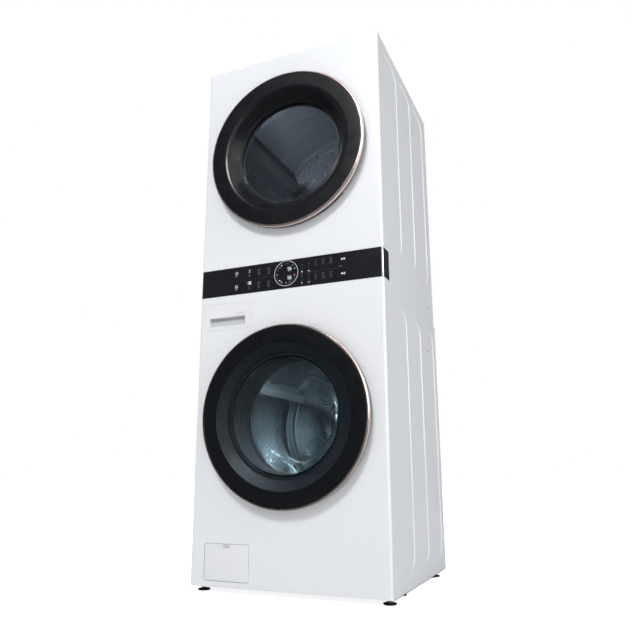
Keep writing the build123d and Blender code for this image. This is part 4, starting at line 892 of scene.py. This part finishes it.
def control_marks():
    """The printed and lit marks of the touch strip, with no lettering."""
    marks = Marks(STRIP_FACE)
    up, down, centre = (STRIP_LOW + share * (STRIP_HIGH - STRIP_LOW) for share in (0.77, 0.26, 0.535))
    power_mark(marks, -0.198, up)
    power_mark(marks, -0.198, down + 2 * MM)

    # cycle column with one chosen
    x = -0.146
    marks.column(x, up, ((6.5, (6.0,)), (2.5, (2.6, 3.4)), (-1.5, (5.2, 2.2))), "mark_grey", 2.6)
    marks.column(x, up, ((-9, (3.0, 2.0)), (-13, (5.0,)), (-17.5, (2.4, 3.6))), "mark_dim", 1.3)
    for dz in (13.4, 6.8):
        marks.bar(-0.1425, down + dz * MM, 7.6, 3.4, "mark_white")
        marks.bar(-0.1495, down + dz * MM, 1.6, 4.4, "mark_white")
    marks.ring(-0.1455, down + 10 * MM, 9.5, 1.2, "mark_red", 232, 308)
    marks.column(x, down, ((-4, (2.6, 3.4)), (-8, (5.0,)), (-12.5, (3.0, 2.6))), "mark_dim", 1.3)

    # dim option columns, each an icon over two dashes
    for k, x in enumerate((-0.109, -0.070)):
        for row, base in enumerate((up, down + 4 * MM)):
            marks.ring(x, base + 3 * MM, 4.2, 0.8, "mark_dim", 20 + 40 * k, 300 + 20 * row)
            marks.stroke((x - 2 * MM, base + MM), (x + 2.6 * MM, base + 6 * MM), 0.8, "mark_dim")
            marks.column(x, base, ((-6.5, (6.4, 2.4)), (-11, (3.0, 5.2)), (-15.5, (8.0,))), "mark_dim", 1.2)

    # the dial: a silver ring, with a faint glow as painted sheen, and marks round two readouts
    x, reach = -0.0035, 0.0345
    marks.ring(x, centre, 44.5, 1.9, "dial_silver_sheen")
    for k, (turn, size) in enumerate((
            (-150, 1.7), (-133, 1.9), (-112, 1.0), (-93, 1.5), (-68, 1.0), (-50, 1.3), (-30, 1.9),
            (-5, 1.0), (12, 1.2), (40, 1.0), (66, 1.4), (118, 1.1), (140, 0.9), (162, 0.9), (180, 1.4))):
        a = math.radians(turn)
        u, v = x + reach * math.sin(a), centre + reach * math.cos(a)
        marks.dot(u, v, size, "mark_white" if size > 1.35 else "mark_grey")
        if k % 4 == 1:
            marks.bar(u + 4 * MM, v, 3.4, 1.8, "mark_grey")
    for z in (centre + 15 * MM, centre - 16.5 * MM):
        digit(marks, 0.0055, z, "5", "mark_green")
        digit(marks, 0.0135, z, "6", "mark_green")
        marks.dashes(0.010, z - 8.6 * MM, (2.2, 3.6), "mark_grey", 1.1)
    marks.dot(0.0285, centre - 9 * MM, 2.9, "mark_red")
    for k in range(19):
        marks.bar(-0.168 + k * 6.6 * MM, centre - 4.5 * MM, 2.6, 0.5, "mark_dim")

    # option columns on the right
    rows = ((-5, (2.4, 3)), (9, (1.2,)), (14, (1.6,)), (19, (1.2,)), (25, (3.2, 2.0)))
    for x, bright in ((0.056, (5.4,)), (0.0815, (2.6, 3.4))):
        for base in (centre - 2 * MM, centre - 41 * MM):
            marks.dashes(x, base, bright, "mark_white", 1.9)
            marks.column(x, base, rows, "mark_dim", 1.4)
    for x, wide in ((0.107, 4.4), (0.134, 7.0), (0.162, 7.5)):
        rows = [(dz, (wide * part, 2.4)) for dz, part in ((9, 0.8), (3, 0.5), (-2, 0.7), (-8, 1.0))]
        for base in (up, down + 2 * MM):
            marks.column(x, base, rows, "mark_dim", 1.2)
    for k in range(17):
        marks.bar(0.052 + k * 8.2 * MM, centre - 7 * MM, 3.2, 0.5, "mark_dim")
    start_mark(marks, 0.206, up)
    start_mark(marks, 0.206, down + MM)
    marks.dashes(0.197, centre - MM, (3.0, 5.0, 3.4), "mark_dim", 2.2)
    marks.pieces("strip_marks", "root", "control_black")


def strip_corners():
    """The thin bright strips that follow the control strip's front corners."""
    radius, thick = 9 * MM, 0.35 * MM
    shape = Shape()
    for side in (-1, 1):
        x, y = side * (HALF - radius), STRIP_FACE + radius
        lines = []
        for r in (radius + 0.02 * MM, radius + thick):
            turns = [math.radians(22 + 40 * k / 8) for k in range(9)]
            lines.append([(x + side * r * math.sin(a), y - r * math.cos(a)) for a in turns])
        ribbon(shape, *lines, STRIP_LOW + 0.5 * MM, STRIP_HIGH - 0.5 * MM, place=on_floor)
    shape.piece("strip_corners", "root", ["chrome"], "control_black")


# ---- drawer and hatch
def drawer_details():
    """The grip's sloped back, grey as painted shade in the recess, the three compartment signs, and painted
    shade in the gap round the drawer.
    """
    low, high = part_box("drawer_front")
    x0, x1 = low.x + 24.4 * MM, high.x - 25.4 * MM
    z0, z1 = low.z + 14.2 * MM, low.z + 45 * MM
    shape = Shape()
    # painted shade: the grip's slope is grey for the shade inside the recess
    outline = rounded([(FRONT + 4.4 * MM, z0), (FRONT + 19.5 * MM, z0),
                       *scaled([(19.5, -3, 1), (16.5, -3, 2)], FRONT, z1)], 4)
    prism(shape, outline, x0, x1, on_side)
    shape.piece("drawer_grip_slope", "detergent_drawer", ["grip_shade_grey"], "white_plastic")

    marks = Marks(low.y)
    x, z = x1 - 28 * MM, z1 + 12 * MM
    size = 3.4
    corners = scaled([(-size, -size), (size, -size), (size, size), (-size, size)], x, z)
    for k, corner in enumerate(corners):
        marks.stroke(corner, corners[(k + 1) % 4], 0.8, "mark_grey")
    marks.stroke(*scaled([(-0.4 * size, -0.5 * size), (0.5 * size, 0.5 * size)], x, z), 0.9, "mark_grey")
    for turn in range(0, 360, 72):
        a = math.radians(turn)
        marks.ring(x + 11 * MM + 1.9 * MM * math.sin(a), z + 1.9 * MM * math.cos(a), 1.6, 0.6,
                   "mark_grey", turn - 110, turn + 110)
    marks.ring(x + 21.5 * MM, z + 0.6 * MM, 2.6, 0.8, "mark_grey", 40, 320)
    marks.stroke(*scaled([(18.5, -3.6), (24.5, -3.6)], x, z), 0.8, "mark_grey")
    marks.pieces("drawer_marks", "detergent_drawer", "white_plastic")
    # painted shade: a dark ribbon in the gap round the drawer
    seam_shadow("drawer_gap_shade", low, high, 4 * MM, "white_enamel")


def seam_shadow(name, low, high, corner, slot):
    """A dark ribbon of painted shade in the gap round a lid, just behind the front panel's skin."""
    lines = [rounded_rectangle(low.x - d, high.x + d, low.z - d, high.z + d, corner + d, 8)
             for d in (-0.2 * MM, 4 * MM)]
    shape = Shape()
    ribbon(shape, *lines, FRONT + 1.22 * MM, FRONT + 1.46 * MM, closed=True)
    shape.piece(name, "root", ["painted_shade_black"], slot)


def hatch():
    """The hatch's cover with softened edges, its finger tab painted grey as the shade of its notch, its two
    knuckles, and painted shade in its gap.
    """
    low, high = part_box("access_hatch")
    corner = 8 * MM
    shape = Shape()
    stack(shape, [[on_front(u, v, FRONT + t * MM) for u, v in
                   rounded_rectangle(low.x + d, high.x - d, low.z + d, high.z - d, corner - d, 8)]
                  for d, t in ((1.9 * MM, 0.0), (1.1 * MM, 0.25), (0.6 * MM, 0.9), (0.6 * MM, 2.4))])
    pin_z = low.z + corner
    for x in (low.x + 24 * MM, high.x - 24 * MM):
        bar(shape, (x - 6 * MM, FRONT + 2.2 * MM, pin_z - 2.4 * MM),
            (x + 6 * MM, FRONT + 4.7 * MM, pin_z + 2.4 * MM), 0.4 * MM)
    shape.piece("hatch_cover", "hatch", ["white_plastic"], "white_plastic", ["access_hatch"])
    tab = Shape()
    left, right = high.x - 94 * MM, high.x - 70 * MM
    # painted shade: a grey patch with a darker grey line at its foot stands in for the recessed notch
    for paint, (bottom, top, radius, proud) in enumerate(((10.5, 1.2, 1.5, 0.05), (11.5, 9.3, 0.6, 0.15))):
        prism(tab, rounded_rectangle(left, right, high.z - bottom * MM, high.z - top * MM, radius * MM, 3),
              FRONT - proud * MM, FRONT + 0.5 * MM, paint=paint)
    tab.piece("hatch_tab", "hatch", ["grip_shade_grey", "mark_grey"], "white_plastic")
    # painted shade: a dark ribbon in the gap round the hatch
    seam_shadow("hatch_gap_shade", low, high, corner, "white_enamel")


def softener_caps():
    """The siphon caps over two of the tray's compartments."""
    low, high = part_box("drawer_tray")
    cell = (high.x - low.x) / 3
    knob = rounded(scaled([(0, -12), (9, -12), (9, -1, 2), (0, -1)], 0, high.z), 4)
    shape = Shape()
    for k in (1, 2):
        x = low.x + (k + 0.5) * cell
        bar(shape, (x - cell * 0.44, high.y - 96 * MM, high.z - 14 * MM),
            (x + cell * 0.44, high.y - 6 * MM, high.z - 3 * MM), 1.5 * MM)
        lathe(shape, knob, x, high.y - 48 * MM, segments=28, upright=True)
    shape.piece("softener_caps", "detergent_drawer", ["blue_plastic"], "grey_plastic")


# ---- back
def back_screws():
    """Screws round both back panels and along the top."""
    shape = Shape()
    low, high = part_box("washer_rear_cover")
    for x in (low.x + 30 * MM, -0.11, 0.11, high.x - 30 * MM):
        for z in (low.z + 10 * MM, high.z - 10 * MM):
            screw_head(shape, x, WASHER_SKIN, z, 1)
    for z in (0.2, 0.42, 0.64):
        for x in (low.x + 24 * MM, high.x - 24 * MM):
            screw_head(shape, x, WASHER_SKIN, z, 1)
    low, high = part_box("dryer_rear_panel")
    for k in range(5):
        for x in (low.x + 8 * MM, high.x - 8 * MM):
            screw_head(shape, x, DRYER_BACK, low.z + 12 * MM + (high.z - low.z - 24 * MM) * k / 4, 1)
    for x in (-0.11, 0.11):
        screw_head(shape, x, DRYER_BACK, high.z - 12 * MM, 1)
    shape.piece("back_screws", "root", ["chrome"], "zinc_steel")


def transit_plugs():
    """Moulded plugs over the transit bolt holes."""
    profile = rounded(scaled([(0, 0), (14.6, 0), (14.6, 1.6, 1), (12.6, 4.6, 1.6), (7, 4.6, 1), (6, 3.4, 1),
                              (0, 3.4)], 0, WASHER_SKIN), 4)
    shape = Shape()
    for x in (-0.12, 0.12):
        for z in (0.83, 0.28):
            lathe(shape, profile, x, z, 0, 40)
    shape.piece("transit_plugs", "root", ["pale_plastic"], "grey_plastic")


def water_fittings():
    """Threads and coloured collars on the two inlets, and beads on the drain spigot."""
    collar = rounded(scaled([(13.3, 0.2), (17, 0.2, 0.8), (17, 3.2, 1), (13.3, 3.2)], 0, WASHER_SKIN), 3)
    threads = Shape()
    for name, x, paint in (("hot", -0.25, "red_plastic"), ("cold", -0.2, "blue_plastic")):
        shape = Shape()
        lathe(shape, collar, x, INLET_Z, 0, 48)
        shape.piece(f"{name}_inlet_collar", "root", [paint], "grey_plastic")
        for k in range(7):
            lathe(threads, scaled([(13, -1.1), (14, 0), (13, 1.1)], 0, WASHER_SKIN + (6 + 2.4 * k) * MM),
                  x, INLET_Z, 0, 48)
    for k in range(3):
        lathe(threads, scaled([(11.6, -2.6), (12.7, 1.4), (11.6, 2.2)], 0, WASHER_SKIN + (14 + 6 * k) * MM),
              *SPIGOT_AT, 0, 40)
    threads.piece("inlet_threads", "root", ["pale_plastic"], "grey_plastic")


def exhaust_end():
    """The rolled beads round the exhaust collar, and its flange."""
    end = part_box("dryer_ducts")[1].y
    shape = Shape()
    for back in (12, 30):
        lathe(shape, rounded(scaled([(-0.4, -3), (1.2, 0, 2), (-0.4, 3)], EXHAUST_R, end - back * MM), 4),
              *EXHAUST_AT, 0, 96)
    lathe(shape, rounded(scaled([(0, 0), (12, 0, 1), (12, 1.4, 1), (0, 1.4)], EXHAUST_R, DRYER_BACK), 3),
          *EXHAUST_AT, 0, 96)
    shape.piece("exhaust_beads", "root", ["galvanised"], "galvanised")


def gland_ring():
    """The black bush in the terminal cover."""
    shape = Shape()
    lathe(shape, rounded(scaled([(7, 0, 1), (13.2, 0, 1.5), (13.2, 8.5, 0.5), (7, 8.5)], 0, 0.9765), 4),
          0.225, DRYER_BACK - 13 * MM, 0, 48, upright=True)
    shape.piece("gland_ring", "root", ["black_rubber"], "black_rubber")


# ---- feet
def foot(end, side):
    """A levelling foot: ribbed shoe, hexagon and threaded stem."""
    node = f"foot_{end}_{side}"
    low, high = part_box(node)
    x, y = (low.x + high.x) / 2, (low.y + high.y) / 2
    r = high.x - x
    shoe = Shape()
    lathe(shoe, rounded([(0, 0), *scaled([(-2, 0, 0.6), (0, 2, 1.2), (-1, 5, 1.2)], r),
                         (10 * MM, 6.5 * MM, 1.5 * MM), (0, 6.5 * MM)], 4), x, y, 0, 56, upright=True)
    rib = rounded(scaled([(0, 1.8), (0.9, 1.8, 0.2), (0.9, 4.6, 0.2), (0, 4.6)]), 2)
    rib_r = r - 0.35 * MM
    for k in range(24):
        a = 2 * math.pi * k / 24
        lathe(shoe, rib, x + rib_r * math.sin(a), y + rib_r * math.cos(a), 0, 8, upright=True)
    shoe.piece(f"{node}_shoe", node, ["black_rubber"], "black_rubber", [node])
    metal = Shape()
    prism(metal, arc_line(x, y, 9 * MM, 30, 330, 5), 6.2 * MM, 9.9 * MM, on_floor)
    stem, pitch, top = 5 * MM, 1.5 * MM, high.z
    profile = [(0, 9.5 * MM)]
    for k in range(int((top - 11 * MM) / pitch)):
        z = 10 * MM + k * pitch
        profile += [(stem - 0.7 * MM, z), (stem, z + pitch / 2)]
    profile += [(stem - 0.7 * MM, top), (0, top)]
    lathe(metal, profile, x, y, 0, 24, upright=True)
    metal.piece(f"{node}_stem", node, ["zinc"], "zinc_steel", smooth=20)


# ---- the whole
make_camera()
make_studio()
paint_frame()

door_trim("washer_trim", "washer_door_trim", "washer_door", WASHER_Z, "washer_trim")
door_trim("dryer_trim", "dryer_door_trim", "dryer_door", DRYER_Z, "dryer_trim")
washer_cover()
washer_bowl()
dryer_dish()
dryer_window()
hinge_screws()
gasket()
washer_drum()
dryer_drum()
control_marks()
strip_corners()
drawer_details()
hatch()
softener_caps()
back_screws()
transit_plugs()
water_fittings()
exhaust_end()
gland_ring()
for foot_end in ("front", "rear"):
    for foot_side in ("left", "right"):
        foot(foot_end, foot_side)
